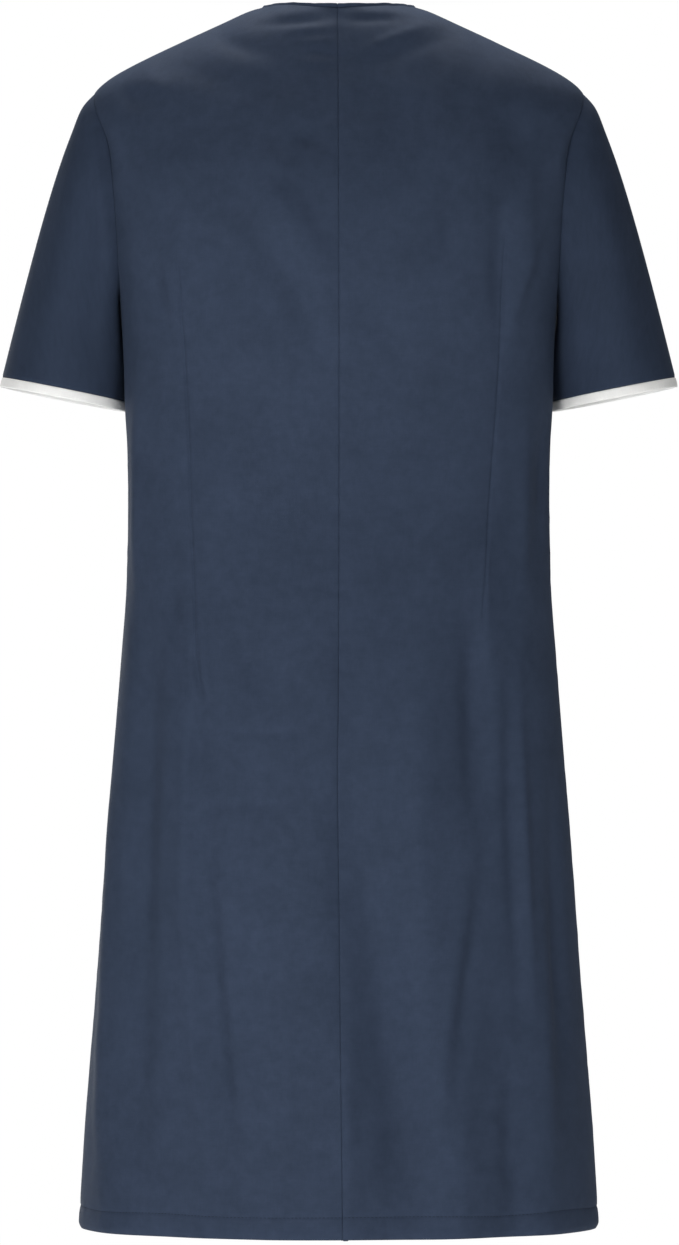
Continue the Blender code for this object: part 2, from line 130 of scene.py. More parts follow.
# ------------------------------------------------------------------ darts
# a line down the back or front: x across from the centre at each height
Dart = namedtuple("Dart", "face side z_tip_top z_tip_foot points")
DartPoint = namedtuple("DartPoint", "z x")
DARTS = [
    Dart("back", +1, -0.214, -0.552, [DartPoint(-0.214, 0.1362), DartPoint(-0.276, 0.1320),
                                      DartPoint(-0.370, 0.1268), DartPoint(-0.446, 0.1238),
                                      DartPoint(-0.552, 0.1205)]),
    Dart("back", -1, -0.190, -0.534, [DartPoint(-0.190, 0.1420), DartPoint(-0.255, 0.1390),
                                      DartPoint(-0.335, 0.1338), DartPoint(-0.420, 0.1278),
                                      DartPoint(-0.534, 0.1204)]),
    Dart("front", +1, -0.292, -0.545, [DartPoint(-0.292, 0.0900), DartPoint(-0.420, 0.0935),
                                       DartPoint(-0.545, 0.0985)]),
    Dart("front", -1, -0.292, -0.545, [DartPoint(-0.292, 0.0905), DartPoint(-0.420, 0.0940),
                                       DartPoint(-0.545, 0.0980)]),
]

# ------------------------------------------------------------------ creases
# x across from the middle (wearer's left +), z height; bow is how far the line
# swings to the wearer's left at its middle; kind: soft is a rounded ridge or
# trough, lean is a ridge beside a trough, sharp is a pinched ridge; ends is
# how much of the length fades out.
Crease = namedtuple("Crease", "face x_top z_top x_foot z_foot bow width height kind ends")
CREASES = [
    # drag lines under the back neck
    Crease("back", +0.062, -0.0105, +0.012, -0.0075, 0.001, 0.0045, +0.0006, "soft", 0.6),
    Crease("back", +0.075, -0.0190, +0.004, -0.0150, 0.002, 0.0042, -0.0007, "soft", 0.6),
    Crease("back", +0.048, -0.0265, +0.003, -0.0235, -.001, 0.0040, +0.0005, "soft", 0.7),
    Crease("back", +0.036, -0.0350, +0.002, -0.0330, 0.001, 0.0036, +0.0004, "soft", 0.7),
    Crease("back", +0.030, -0.0450, +0.002, -0.0440, 0.000, 0.0036, -0.0004, "soft", 0.7),
    Crease("back", +0.034, -0.0530, +0.003, -0.0535, 0.001, 0.0040, +0.0004, "soft", 0.7),
    Crease("back", +0.026, -0.0680, +0.002, -0.0670, 0.000, 0.0040, +0.0003, "soft", 0.7),
    Crease("back", -0.004, -0.0090, -0.066, -0.0100, 0.000, 0.0042, +0.0006, "soft", 0.6),
    Crease("back", -0.003, -0.0170, -0.058, -0.0150, 0.000, 0.0040, -0.0006, "soft", 0.6),
    Crease("back", -0.086, -0.0170, -0.014, -0.0470, 0.003, 0.0050, +0.0007, "soft", 0.6),
    Crease("back", -0.104, -0.0270, -0.020, -0.0600, 0.003, 0.0060, -0.0005, "soft", 0.7),
    Crease("back", +0.104, -0.0190, +0.050, -0.0480, 0.004, 0.0085, -0.0008, "soft", 0.7),
    Crease("back", +0.150, -0.0420, +0.060, -0.0760, 0.005, 0.0130, -0.0007, "soft", 0.8),
    Crease("back", -0.030, -0.0600, -0.090, -0.0860, 0.003, 0.0110, +0.0004, "soft", 0.8),
    # shoulder blades
    Crease("back", +0.190, -0.0720, +0.158, -0.0860, 0.003, 0.0100, -0.0011, "soft", 0.8),
    Crease("back", +0.196, -0.0860, +0.180, -0.1250, 0.003, 0.0100, +0.0009, "soft", 0.8),
    Crease("back", +0.166, -0.0600, +0.140, -0.0760, 0.002, 0.0090, +0.0007, "soft", 0.8),
    Crease("back", -0.150, -0.0850, -0.156, -0.1500, 0.006, 0.0180, -0.0012, "soft", 0.8),
    Crease("back", +0.040, -0.1060, +0.008, -0.1240, 0.002, 0.0100, -0.0008, "soft", 0.8),
    Crease("back", +0.070, -0.1200, +0.030, -0.1500, 0.004, 0.0100, +0.0006, "soft", 0.8),
    # slack in the middle of the back
    Crease("back", +0.066, -0.1450, +0.010, -0.2700, -.006, 0.0130, +0.0012, "soft", 0.8),
    Crease("back", +0.082, -0.1800, +0.012, -0.3200, -.008, 0.0140, -0.0015, "soft", 0.8),
    Crease("back", +0.042, -0.1700, +0.004, -0.2400, -.003, 0.0090, +0.0006, "soft", 0.8),
    Crease("back", +0.104, -0.2400, +0.040, -0.3500, -.006, 0.0150, +0.0008, "soft", 0.8),
    Crease("back", -0.012, -0.2300, -0.070, -0.3200, 0.006, 0.0140, -0.0007, "soft", 0.8),
    Crease("back", +0.158, -0.2200, +0.138, -0.2900, 0.003, 0.0080, -0.0009, "soft", 0.8),
    Crease("back", +0.146, -0.2240, +0.128, -0.2880, 0.003, 0.0070, +0.0006, "soft", 0.8),
    Crease("back", -0.172, -0.1950, -0.142, -0.2850, 0.004, 0.0080, +0.0014, "soft", 0.7),
    Crease("back", -0.142, -0.1500, -0.136, -0.2900, 0.004, 0.0100, -0.0012, "soft", 0.7),
    Crease("back", -0.164, -0.1300, -0.160, -0.2400, 0.004, 0.0110, +0.0010, "soft", 0.8),
    Crease("back", -0.098, -0.1400, -0.090, -0.2300, 0.003, 0.0130, -0.0010, "soft", 0.8),
    # sides of the waist
    Crease("back", +0.172, -0.3200, +0.170, -0.5200, 0.003, 0.0110, +0.0010, "soft", 0.6),
    Crease("back", +0.140, -0.4400, +0.136, -0.5600, 0.002, 0.0120, -0.0011, "soft", 0.7),
    Crease("back", +0.108, -0.3600, +0.106, -0.5000, 0.002, 0.0130, +0.0007, "soft", 0.8),
    Crease("back", -0.176, -0.3400, -0.170, -0.4600, 0.003, 0.0110, -0.0012, "soft", 0.7),
    Crease("back", -0.158, -0.3400, -0.156, -0.5200, 0.002, 0.0100, +0.0011, "soft", 0.7),
    Crease("back", +0.092, -0.4300, +0.060, -0.4700, 0.000, 0.0110, +0.0005, "soft", 0.8),
    Crease("back", -0.020, -0.4300, -0.100, -0.4100, 0.002, 0.0120, -0.0005, "soft", 0.8),
    # below the darts
    Crease("back", +0.1210, -0.5360, +0.1120, -0.5960, 0.002, 0.0036, -0.0012, "soft", 0.6),
    Crease("back", +0.1145, -0.5400, +0.1060, -0.6000, 0.002, 0.0040, +0.0011, "soft", 0.6),
    Crease("back", +0.1190, -0.5960, +0.1150, -0.6600, 0.001, 0.0070, -0.0011, "soft", 0.7),
    Crease("back", +0.0900, -0.5100, +0.0560, -0.6000, 0.003, 0.0140, -0.0008, "soft", 0.8),
    Crease("back", -0.1240, -0.4400, -0.1260, -0.5600, 0.001, 0.0060, +0.0008, "soft", 0.7),
    # skirt, wearer's left
    Crease("back", +0.190, -0.5600, +0.202, -1.0300, 0.000, 0.0150, +0.0012, "soft", 0.4),
    Crease("back", +0.159, -0.5000, +0.169, -0.9300, 0.004, 0.0210, -0.0036, "soft", 0.6),
    Crease("back", +0.124, -0.5700, +0.130, -0.8600, 0.003, 0.0100, +0.0015, "soft", 0.6),
    Crease("back", +0.168, -0.8400, +0.172, -1.0500, 0.003, 0.0200, -0.0018, "soft", 0.7),
    Crease("back", +0.112, -0.7000, +0.082, -1.0300, 0.004, 0.0120, -0.0014, "soft", 0.6),
    Crease("back", +0.100, -0.7000, +0.068, -1.0300, 0.004, 0.0080, +0.0010, "soft", 0.6),
    Crease("back", +0.126, -0.8000, +0.112, -0.9800, 0.002, 0.0080, +0.0008, "soft", 0.7),
    Crease("back", +0.034, -0.5900, +0.036, -0.9900, 0.000, 0.0240, +0.0008, "soft", 0.6),
    # from the centre seam out to the right, widening towards the hem
    Crease("back", -0.015, -0.6600, -0.094, -1.1900, 0.004, 0.0240, -0.0042, "soft", 0.5),
    Crease("back", -0.010, -0.5200, -0.014, -0.7200, 0.000, 0.0110, -0.0009, "soft", 0.7),
    Crease("back", -0.004, -0.8600, -0.006, -1.0500, 0.000, 0.0080, +0.0010, "soft", 0.6),
    # skirt, wearer's right
    Crease("back", -0.072, -0.5400, -0.066, -0.8400, 0.002, 0.0170, +0.0015, "soft", 0.7),
    Crease("back", -0.112, -0.5000, -0.116, -0.6900, 0.000, 0.0130, -0.0022, "soft", 0.6),
    Crease("back", -0.1530, -0.5700, -0.1640, -0.8600, 0.002, 0.0060, +0.0012, "soft", 0.6),
    Crease("back", -0.1420, -0.5400, -0.1540, -0.8800, 0.003, 0.0080, -0.0013, "soft", 0.6),
    Crease("back", -0.126, -0.7000, -0.094, -0.9800, 0.004, 0.0080, -0.0008, "soft", 0.6),
    Crease("back", -0.114, -0.7100, -0.080, -0.9600, 0.004, 0.0080, +0.0008, "soft", 0.7),
    Crease("back", -0.180, -0.6600, -0.188, -0.9000, 0.002, 0.0110, -0.0013, "soft", 0.6),
    Crease("back", -0.172, -0.7600, -0.178, -1.0000, 0.002, 0.0120, +0.0012, "soft", 0.6),
    Crease("back", -0.146, -0.8800, -0.150, -1.0500, 0.003, 0.0110, -0.0015, "soft", 0.6),
    Crease("back", -0.104, -0.9000, -0.108, -1.0500, 0.004, 0.0130, +0.0010, "soft", 0.6),
    Crease("back", +0.120, -0.6130, +0.020, -0.6160, 0.002, 0.0045, -0.0004, "soft", 0.7),
    Crease("back", +0.118, -0.6740, +0.030, -0.6770, 0.002, 0.0045, -0.0004, "soft", 0.7),
    Crease("back", +0.127, -1.0100, +0.124, -1.0450, 0.000, 0.0034, -0.0009, "soft", 0.5),
    Crease("back", +0.063, -1.0180, +0.060, -1.0450, 0.000, 0.0032, -0.0009, "soft", 0.5),
    Crease("back", -0.040, -1.0160, -0.041, -1.0450, 0.000, 0.0034, -0.0008, "soft", 0.5),
    Crease("back", +0.096, -0.9950, +0.093, -1.0300, 0.001, 0.0046, +0.0007, "soft", 0.6),
    Crease("back", -0.090, -0.9980, -0.093, -1.0300, 0.001, 0.0046, +0.0006, "soft", 0.6),
    # front, much the same cloth
    Crease("front", +0.020, -0.1750, +0.060, -0.2600, 0.004, 0.0100, +0.0012, "soft", 0.6),
    Crease("front", -0.016, -0.1800, -0.066, -0.2700, -.004, 0.0110, +0.0012, "soft", 0.6),
    Crease("front", +0.150, -0.1300, +0.120, -0.2100, 0.003, 0.0110, -0.0014, "soft", 0.6),
    Crease("front", -0.152, -0.1250, -0.126, -0.2000, 0.003, 0.0100, -0.0014, "soft", 0.6),
    Crease("front", +0.060, -0.2900, +0.020, -0.4000, 0.003, 0.0120, -0.0012, "soft", 0.6),
    Crease("front", -0.050, -0.3000, -0.014, -0.4200, 0.003, 0.0120, -0.0013, "soft", 0.6),
    Crease("front", +0.150, -0.3500, +0.146, -0.5600, 0.002, 0.0120, -0.0015, "soft", 0.5),
    Crease("front", -0.148, -0.3700, -0.148, -0.5800, 0.002, 0.0120, -0.0016, "soft", 0.5),
    Crease("front", +0.100, -0.5500, +0.112, -0.9600, 0.003, 0.0110, +0.0014, "soft", 0.4),
    Crease("front", +0.060, -0.6200, +0.050, -1.0300, 0.000, 0.0140, -0.0018, "soft", 0.4),
    Crease("front", -0.100, -0.5600, -0.118, -0.9000, 0.002, 0.0110, +0.0015, "soft", 0.4),
    Crease("front", -0.140, -0.6000, -0.160, -0.9600, 0.002, 0.0090, -0.0016, "soft", 0.4),
    Crease("front", +0.165, -0.6000, +0.186, -0.9900, 0.002, 0.0120, +0.0014, "soft", 0.4),
    Crease("front", -0.030, -0.7000, -0.036, -1.0300, 0.001, 0.0070, +0.0010, "soft", 0.4),
    Crease("front", +0.020, -0.8200, +0.016, -1.0400, 0.001, 0.0060, +0.0008, "soft", 0.4),
]

# folds of the sleeves: angle in degrees from the outer line (0) round the back
# (90) to the underarm (180) and the front (270); down 0 at the armhole, 1 at the cuff
SleeveFold = namedtuple("SleeveFold", "side angle_top down_top angle_foot down_foot width height")
SLEEVE_FOLDS = [
    SleeveFold(+1, 62, 0.15, 78, 1.00, 17, +0.0016),
    SleeveFold(+1, 104, 0.20, 112, 0.85, 13, -0.0016),
    SleeveFold(+1, 34, 0.30, 44, 0.90, 12, -0.0009),
    SleeveFold(+1, 250, 0.10, 262, 0.95, 16, -0.0016),
    SleeveFold(+1, 292, 0.20, 300, 0.90, 15, +0.0014),
    SleeveFold(+1, 205, 0.05, 214, 0.60, 12, +0.0012),
    SleeveFold(-1, 66, 0.10, 70, 1.00, 16, +0.0017),
    SleeveFold(-1, 100, 0.15, 108, 0.90, 14, -0.0018),
    SleeveFold(-1, 30, 0.25, 40, 0.80, 12, -0.0010),
    SleeveFold(-1, 246, 0.15, 254, 0.90, 16, -0.0015),
    SleeveFold(-1, 290, 0.10, 296, 0.95, 14, +0.0015),
    SleeveFold(-1, 208, 0.05, 216, 0.60, 12, +0.0012),
]


# ================================================================ the solid's form
def column_curve(levels, values):
    order = np.argsort(levels)
    x = np.asarray(levels, float)[order]
    y = np.asarray(values, float)[order]
    step = np.diff(x)
    slope = np.diff(y) / step
    tangent = np.zeros(len(x))
    tangent[0], tangent[-1] = slope[0], slope[-1]
    for k in range(1, len(x) - 1):
        if slope[k - 1] * slope[k] > 0.0:
            a = 2.0 * step[k] + step[k - 1]
            b = step[k] + 2.0 * step[k - 1]
            tangent[k] = (a + b) / (a / slope[k - 1] + b / slope[k])

    def value(at):
        at = np.asarray(at, float)
        k = np.clip(np.searchsorted(x, at) - 1, 0, len(step) - 1)
        t = np.clip((at - x[k]) / step[k], 0.0, 1.0)
        return ((1 + 2 * t) * (1 - t) ** 2 * y[k]
                + t * (1 - t) ** 2 * step[k] * tangent[k]
                + t * t * (3 - 2 * t) * y[k + 1]
                + t * t * (t - 1) * step[k] * tangent[k + 1])
    return value


LEVELS = [s.level for s in SECTIONS]


def smoothed_column(name, reach=0.011):
    """The table's curve, averaged over a little height so that no row shows as a crease."""
    raw = column_curve(LEVELS, [getattr(s, name) for s in SECTIONS])
    z = np.linspace(HEM_Z, 0.0, 1500)
    v = raw(z)
    offsets = np.linspace(-2.0, 2.0, 17)
    weight = np.exp(-offsets ** 2)
    room = np.clip(np.minimum(-z, z - HEM_Z) / (2.2 * reach), 0.0, 1.0)
    out = np.zeros_like(v)
    for o, w in zip(offsets, weight):
        out += w * raw(np.clip(z + o * reach * room, HEM_Z, 0.0))
    out /= weight.sum()

    def value(at):
        return np.interp(np.asarray(at, float), z, out)
    return value


CURVE = {name: smoothed_column(name) for name in Section._fields[1:]}


def smooth_step(t):
    t = np.clip(t, 0.0, 1.0)
    return t * t * (3.0 - 2.0 * t)


def half_section(turn, z):
    behind = turn <= 1.0
    width = CURVE["half_width"](z)
    side_y = CURVE["side_y"](z)
    depth = np.where(behind, CURVE["back"](z) - side_y, CURVE["front"](z) + side_y)
    power = np.where(behind, CURVE["back_round"](z), CURVE["front_round"](z))
    return width, side_y, depth, power


def fold_height(side, turn, z):
    signed = side * turn
    width = CURVE["half_width"](z)
    metres_per_turn = 1.05 * (width + CURVE["back"](z)) * math.pi / 4.0
    total = np.zeros(np.broadcast(signed, z).shape)
    for f in FOLDS:
        along = np.clip((z - f.z_top) / (f.z_foot - f.z_top), 0.0, 1.0)
        middle = f.turn_top + (f.turn_foot - f.turn_top) * along
        away = signed - middle
        away = (away + 2.0) % 4.0 - 2.0
        away = away * metres_per_turn / f.width
        fade = smooth_step((f.z_top + 0.5 * f.fade - z) / f.fade)
        total = total + f.height * fade * np.exp(-away * away)
    return total


def body(side, turn, z):
    turn = np.asarray(turn, float)
    z = np.asarray(z, float)
    width, side_y, depth, power = half_section(turn, z)
    s = np.abs(np.sin(turn * math.pi / 2.0))
    c = np.abs(np.cos(turn * math.pi / 2.0))
    radius = (s ** power + c ** power) ** (-1.0 / power)
    sign = np.where(turn <= 1.0, 1.0, -1.0)
    x_part, y_part = s * radius, c * radius
    nx = x_part ** (power - 1.0) / width
    ny = sign * y_part ** (power - 1.0) / depth
    length = np.sqrt(nx * nx + ny * ny)
    lift = fold_height(side, turn, z)
    x = width * x_part + lift * nx / length
    y = side_y + depth * sign * y_part + lift * ny / length
    return np.stack([side * x, y, z + 0.0 * x], axis=-1)


def turn_at_y(y, z):
    back = y >= CURVE["side_y"](z)
    width, side_y, depth, power = half_section(np.where(back, 0.5, 1.5), z)
    c = np.clip(np.abs(y - side_y) / depth, 0.0, 1.0)
    s = (1.0 - c ** power) ** (1.0 / power)
    angle = np.arctan2(s, np.where(back, c, -c))
    return angle / (math.pi / 2.0)


def turn_at_front_x(x, z):
    width, side_y, depth, power = half_section(np.full_like(z, 1.5), z)
    s = np.clip(x / width, 0.0, 1.0)
    c = (1.0 - s ** power) ** (1.0 / power)
    return np.arctan2(s, -c) / (math.pi / 2.0)


def armhole(angle):
    angle = np.asarray(angle, float)
    middle = 0.5 * (TIP_Z + UNDERARM_Z)
    z = middle + 0.5 * (TIP_Z - UNDERARM_Z) * np.cos(angle)
    s = np.sin(angle)
    reach = np.where(s >= 0.0, ARMHOLE_BACK * (1.0 + ARMHOLE_HIGH * np.cos(angle)),
                     ARMHOLE_FRONT)
    base = ARMHOLE_FOOT_Y + (ARMHOLE_TOP_Y - ARMHOLE_FOOT_Y) * 0.5 * (1 + np.cos(angle))
    y = base + reach * np.sign(s) * np.abs(s) ** ARMHOLE_FULL
    return turn_at_y(y, z), z


def shoulder_seam(z):
    share = np.clip(z / TIP_Z, 0.0, 1.0)
    y = -0.003 + (SHOULDER_SEAM_Y + 0.003) * np.sqrt(share)
    return turn_at_y(y, z)


def armhole_angles(steps):
    fine = np.linspace(0.0, math.pi, 4001)
    turn, z = armhole(fine)
    p = body(+1, turn, z)
    run = np.concatenate([[0.0], np.cumsum(np.linalg.norm(np.diff(p, axis=0), axis=1))])
    return np.interp(np.linspace(0.0, run[-1], steps + 1), run, fine)


def armhole_frame(side, angles):
    angles = np.asarray(angles, float)
    step = 1e-4
    turn, z = armhole(angles)
    at = body(side, turn, z)
    tangent = body(side, *armhole(angles + step)) - body(side, *armhole(angles - step))
    tangent /= np.linalg.norm(tangent, axis=-1, keepdims=True)
    middle_z = 0.5 * (TIP_Z + UNDERARM_Z)
    inside = body(side, turn + 0.04 * (turn - 1.0), z + 0.04 * (z - middle_z))
    into = at - inside
    into -= tangent * np.sum(into * tangent, axis=-1, keepdims=True)
    into /= np.linalg.norm(into, axis=-1, keepdims=True)
    normal = np.cross(tangent, into)
    normal *= np.sign(normal[..., :1] * side)
    return at, into, normal


def row_levels(left_z, right_z, bend, share):
    swing = bend * 0.30 * (1.0 - share) * share ** 8
    return left_z + (right_z - left_z) * share ** 2 + swing


def lower_bend(z):
    return -np.exp(-((z - UNDERARM_Z) / 0.055) ** 2)


# ================================================================ panel grids
def spaced(start, stop, count, focus=()):
    """Values from start to stop, closer together round each focus (place, reach, weight)."""
    fine = np.linspace(start, stop, 4001)
    density = np.ones_like(fine)
    for place, reach, weight in focus:
        density += weight * np.exp(-((fine - place) / reach) ** 2)
    run = np.concatenate([[0.0], np.cumsum(0.5 * (density[1:] + density[:-1]))])
    return np.interp(np.linspace(0.0, run[-1], count), run, fine)


HEM_LEVELS = np.linspace(HEM_Z, HEM_Z + 0.026, HEM_ROWS)


def back_rows(side, share):
    """Points for any shares (rows x columns) from centre back to the side edge."""
    z = LOWER_BACK[:, None]
    n1, n2 = len(LOWER_BACK), len(ARM)
    s = share[:n1]
    lower = body(side, s, row_levels(z, z, lower_bend(z), s))
    a = ARM[:, None]
    turn, az = armhole(a)
    left = UNDERARM_Z + (0.80 * TIP_Z - UNDERARM_Z) * (1.0 - a / math.pi)
    s = share[n1:n1 + n2]
    middle = body(side, s * turn, row_levels(left, az, np.cos(a), s))
    way = TOP_WAYS[:, None]
    s = share[n1 + n2:]
    level = row_levels(0.80 * TIP_Z * way, TIP_Z * way, way ** 2, s)
    top = body(side, s * shoulder_seam(TIP_Z * way), level)
    fade = smooth_step((level + 0.03) / 0.03)
    across = np.clip(np.abs(top[..., 0]) / NECK_HALF, 0.0, 1.0)
    top[..., 2] -= BACK_NECK_DIP * fade * (1.0 - across ** 2)
    return np.concatenate([lower, middle, top])


def front_rows(side, share):
    """Points for any shares from centre front, or the V edge, to the side edge."""
    z = LOWER_FRONT[:, None]
    n1 = len(LOWER_FRONT)
    s = share[:n1]
    lower = body(side, 2.0 - s, row_levels(z, z, lower_bend(z), s))
    count = len(ARM)
    k = np.arange(1, count + 1)
    up = V_ROW
    centre = np.linspace(UNDERARM_Z, -V_DEPTH, up + 1)[1:]
    edge_z = np.linspace(-V_DEPTH, 0.0, 801)
    edge_x = NECK_HALF * (1.0 + edge_z / V_DEPTH)
    edge_turn = turn_at_front_x(edge_x, edge_z)
    edge = body(+1, edge_turn, edge_z)
    run = np.concatenate([[0.0], np.cumsum(np.linalg.norm(np.diff(edge, axis=0), axis=1))])
    along = np.linspace(0.0, 1.0, count - up + 1)[1:]
    left_z = np.concatenate([centre, np.interp(along * run[-1], run, edge_z)])
    left_turn = np.concatenate([np.full(up, 2.0), np.interp(along * run[-1], run, edge_turn)])
    left_turn[-1] = float(shoulder_seam(np.array(0.0)))
    right_turn, right_z = armhole(2.0 * math.pi - ARM)
    way = (k / count)[:, None]
    s = share[n1:]
    left_z, left_turn = left_z[:, None], left_turn[:, None]
    right_z, right_turn = right_z[:, None], right_turn[:, None]
    straight = left_z + (right_z - left_z) * s
    curved = row_levels(left_z, right_z, np.minimum(0.0, np.cos(ARM))[:, None], s)
    level = curved + (straight - curved) * smooth_step(way)
    turn = left_turn + (right_turn - left_turn) * s
    last = s[-1]
    top_z = left_z[-1] + (TIP_Z - left_z[-1]) * last
    top_line = left_turn[-1] + (float(armhole(0.0)[0]) - left_turn[-1]) * last
    turn = turn + (shoulder_seam(top_z) - top_line)[None, :] * way ** 4
    return np.concatenate([lower, body(side, turn, level)])


def along_rows(points):
    step = np.linalg.norm(np.diff(points, axis=1), axis=2)
    return np.concatenate([np.zeros((len(points), 1)), np.cumsum(step, axis=1)], axis=1)


def along_columns(points):
    step = np.linalg.norm(np.diff(points, axis=0), axis=2)
    return np.concatenate([np.zeros((1, points.shape[1])), np.cumsum(step, axis=0)], axis=0)


def dart_x(dart, z):
    """x of a dart's line, carried on straight past its tips."""
    zs = np.array([p.z for p in dart.points][::-1])
    xs = np.array([p.x for p in dart.points][::-1])
    inner = column_curve(zs, xs)(z)
    low = xs[0] + (z - zs[0]) * 0.5 * (xs[1] - xs[0]) / (zs[1] - zs[0])
    high = xs[-1] + (z - zs[-1]) * 0.35 * (xs[-1] - xs[-2]) / (zs[-1] - zs[-2])
    return np.where(z < zs[0], low, np.where(z > zs[-1], high, inner))


def column_shares(rows_of, side, dart, rows, columns, edge_weight, middle_weight):
    """Shares for each row, closer together at both edges and along the dart."""
    fine = np.linspace(0.0, 1.0, 361)
    share = np.broadcast_to(fine, (rows, len(fine)))
    p = rows_of(side, share)
    arc = along_rows(p)
    x = np.abs(p[..., 0])
    miss = x - dart_x(dart, p[..., 2])
    crossing = np.argmax(miss > 0.0, axis=1)
    crossing = np.where((miss > 0.0).any(axis=1), crossing, len(fine) - 40)
    at = arc[np.arange(rows), crossing]
    kernel = np.exp(-(np.arange(-24, 25) / 10.0) ** 2)
    padded = np.pad(at, 24, mode="edge")
    at = np.convolve(padded, kernel / kernel.sum(), mode="valid")
    total = arc[:, -1:]
    density = (1.0 + middle_weight * np.exp(-(arc / 0.0035) ** 2)
               + edge_weight * np.exp(-((total - arc) / 0.0035) ** 2)
               + 2.6 * np.exp(-((arc - at[:, None]) / 0.0050) ** 2))
    step = 0.5 * (density[:, 1:] + density[:, :-1]) * np.diff(arc, axis=1)
    run = np.concatenate([np.zeros((rows, 1)), np.cumsum(step, axis=1)], axis=1)
    out = np.empty((rows, columns))
    for r in range(rows):
        out[r] = np.interp(np.linspace(0.0, run[r, -1], columns), run[r], fine)
    out[:, 0], out[:, -1] = 0.0, 1.0
    return out


def grid_normals(points, wrap=False):
    """Unit normals of a grid by central differences; sign is set by the caller."""
    if wrap:
        ring = np.concatenate([points[:, -1:], points, points[:, :1]], axis=1)
        du = ring[:, 2:] - ring[:, :-2]
    else:
        du = np.gradient(points, axis=1)
    dv = np.gradient(points, axis=0)
    n = np.cross(du, dv)
    return n / np.maximum(np.linalg.norm(n, axis=2, keepdims=True), 1e-12)


def turned_in(p, normal, column, steps):
    """Extra columns beyond an edge: the seam allowance, folded to the inside.

    steps are (depth below the surface, distance past the edge; negative turns
    back under the panel itself)."""
    edge = p[:, column]
    past = edge - p[:, column + (1 if column == 0 else -1)]
    n = normal[:, column]
    past = past - n * np.sum(past * n, axis=1, keepdims=True)
    past /= np.linalg.norm(past, axis=1, keepdims=True)
    return [edge - n * depth + past * reach for depth, reach in steps]


UNDER_OTHER = [(0.0010, -0.00005), (0.0018, 0.0002), (0.0022, 0.0012), (0.0032, 0.0034), (0.0048, 0.0052)]
UNDER_ITSELF = [(0.0008, -0.0001), (0.0013, -0.0006), (0.0020, -0.0020), (0.0034, -0.0040)]
SHORT = [(0.0006, -0.00003), (0.0012, -0.0001)]


def with_allowances(p, normal, uv, thickness, first, last):
    """The grid with its first and last columns' allowances added."""
    before = turned_in(p, normal, 0, first)[::-1]
    after = turned_in(p, normal, p.shape[1] - 1, last)
    grid = np.concatenate([b[:, None] for b in before] + [p] + [a[:, None] for a in after],
                          axis=1)
    a, b = len(before), len(after)
    thick = np.pad(np.broadcast_to(thickness, p.shape[:2]), ((0, 0), (a, b)), mode="edge")
    wide = np.pad(uv, ((0, 0), (a, b), (0, 0)), mode="edge")
    wide[:, :a, 0] -= (np.arange(a, 0, -1) * 0.0016)[None, :]
    if b:
        wide[:, -b:, 0] += (np.arange(1, b + 1) * 0.0016)[None, :]
    return grid, thick, wide


# ================================================================ relief of the cloth
def arc_of(face, x, z):
    """Distance along the surface from the centre line to this x at this height."""
    turns = np.linspace(0.0, 1.0, 241) if face == "back" else np.linspace(2.0, 1.0, 241)
    section = body(math.copysign(1.0, x if x else 1.0), turns, np.full(241, z))
    run = np.concatenate([[0.0], np.cumsum(np.linalg.norm(np.diff(section, axis=0), axis=1))])
    return math.copysign(np.interp(abs(x), np.abs(section[:, 0]), run), x)


def crease_height(crease, arc, z):
    a0 = arc_of(crease.face, crease.x_top, crease.z_top)
    a1 = arc_of(crease.face, crease.x_foot, crease.z_foot)
    da, dz = a1 - a0, crease.z_foot - crease.z_top
    length = math.hypot(da, dz)
    t = ((arc - a0) * da + (z - crease.z_top) * dz) / length ** 2
    away = ((z - crease.z_top) * da - (arc - a0) * dz) / length
    mid = np.clip(t, 0.0, 1.0)
    away = away - crease.bow * 4.0 * mid * (1.0 - mid)
    ends = max(crease.ends, 0.05)
    fade = smooth_step((t + 0.25 * ends) / ends) * smooth_step((1.0 + 0.25 * ends - t) / ends)
    d = away / crease.width
    if crease.kind == "lean":
        shape = 1.65 * d * np.exp(-d * d)
    elif crease.kind == "sharp":
        shape = np.exp(-np.sqrt(d * d + 0.05) * 1.6 + 0.36)
    else:
        shape = np.exp(-d * d)
    gain = 2.2 + 1.2 * smooth_step((crease.width - 0.004) / 0.006)
    return gain * crease.height * fade * shape


def unevenness(arc, z, seed, height=0.00050):
    """Slight, uneven swells of cloth that has been worn and pressed."""
    rng = np.random.default_rng(seed)
    total = np.zeros_like(arc)
    for _ in range(46):
        angle = rng.uniform(-0.9, 0.9) + (math.pi / 2 if rng.random() < 0.35 else 0.0)
        wave = rng.uniform(0.035, 0.110)
        phase = rng.uniform(0.0, 2.0 * math.pi)
        centre_a, centre_z = rng.uniform(-0.30, 0.30), rng.uniform(HEM_Z, 0.0)
        reach_a, reach_z = rng.uniform(0.05, 0.11), rng.uniform(0.06, 0.20)
        window = np.exp(-((arc - centre_a) / reach_a) ** 2 - ((z - centre_z) / reach_z) ** 2)
        total += window * np.cos((arc * math.cos(angle) + z * math.sin(angle))
                                 * 2 * math.pi / wave + phase) * rng.uniform(0.4, 1.0)
    return height * total


def soft_dents(arc, z, seed, cell, height):
    """Shallow irregular dents and swells about as wide as one cell."""
    rng = np.random.default_rng(seed)
    lattice = rng.uniform(-1.0, 1.0, (256, 128))
    u, v = arc / cell + 64.0, -z / cell + 8.0
    i, j = np.floor(u).astype(int), np.floor(v).astype(int)
    a, b = smooth_step(u - i), smooth_step(v - j)
    i, j = i % 127, j % 255
    return height * ((1 - a) * (1 - b) * lattice[j, i] + a * (1 - b) * lattice[j, i + 1]
                     + (1 - a) * b * lattice[j + 1, i] + a * b * lattice[j + 1, i + 1])


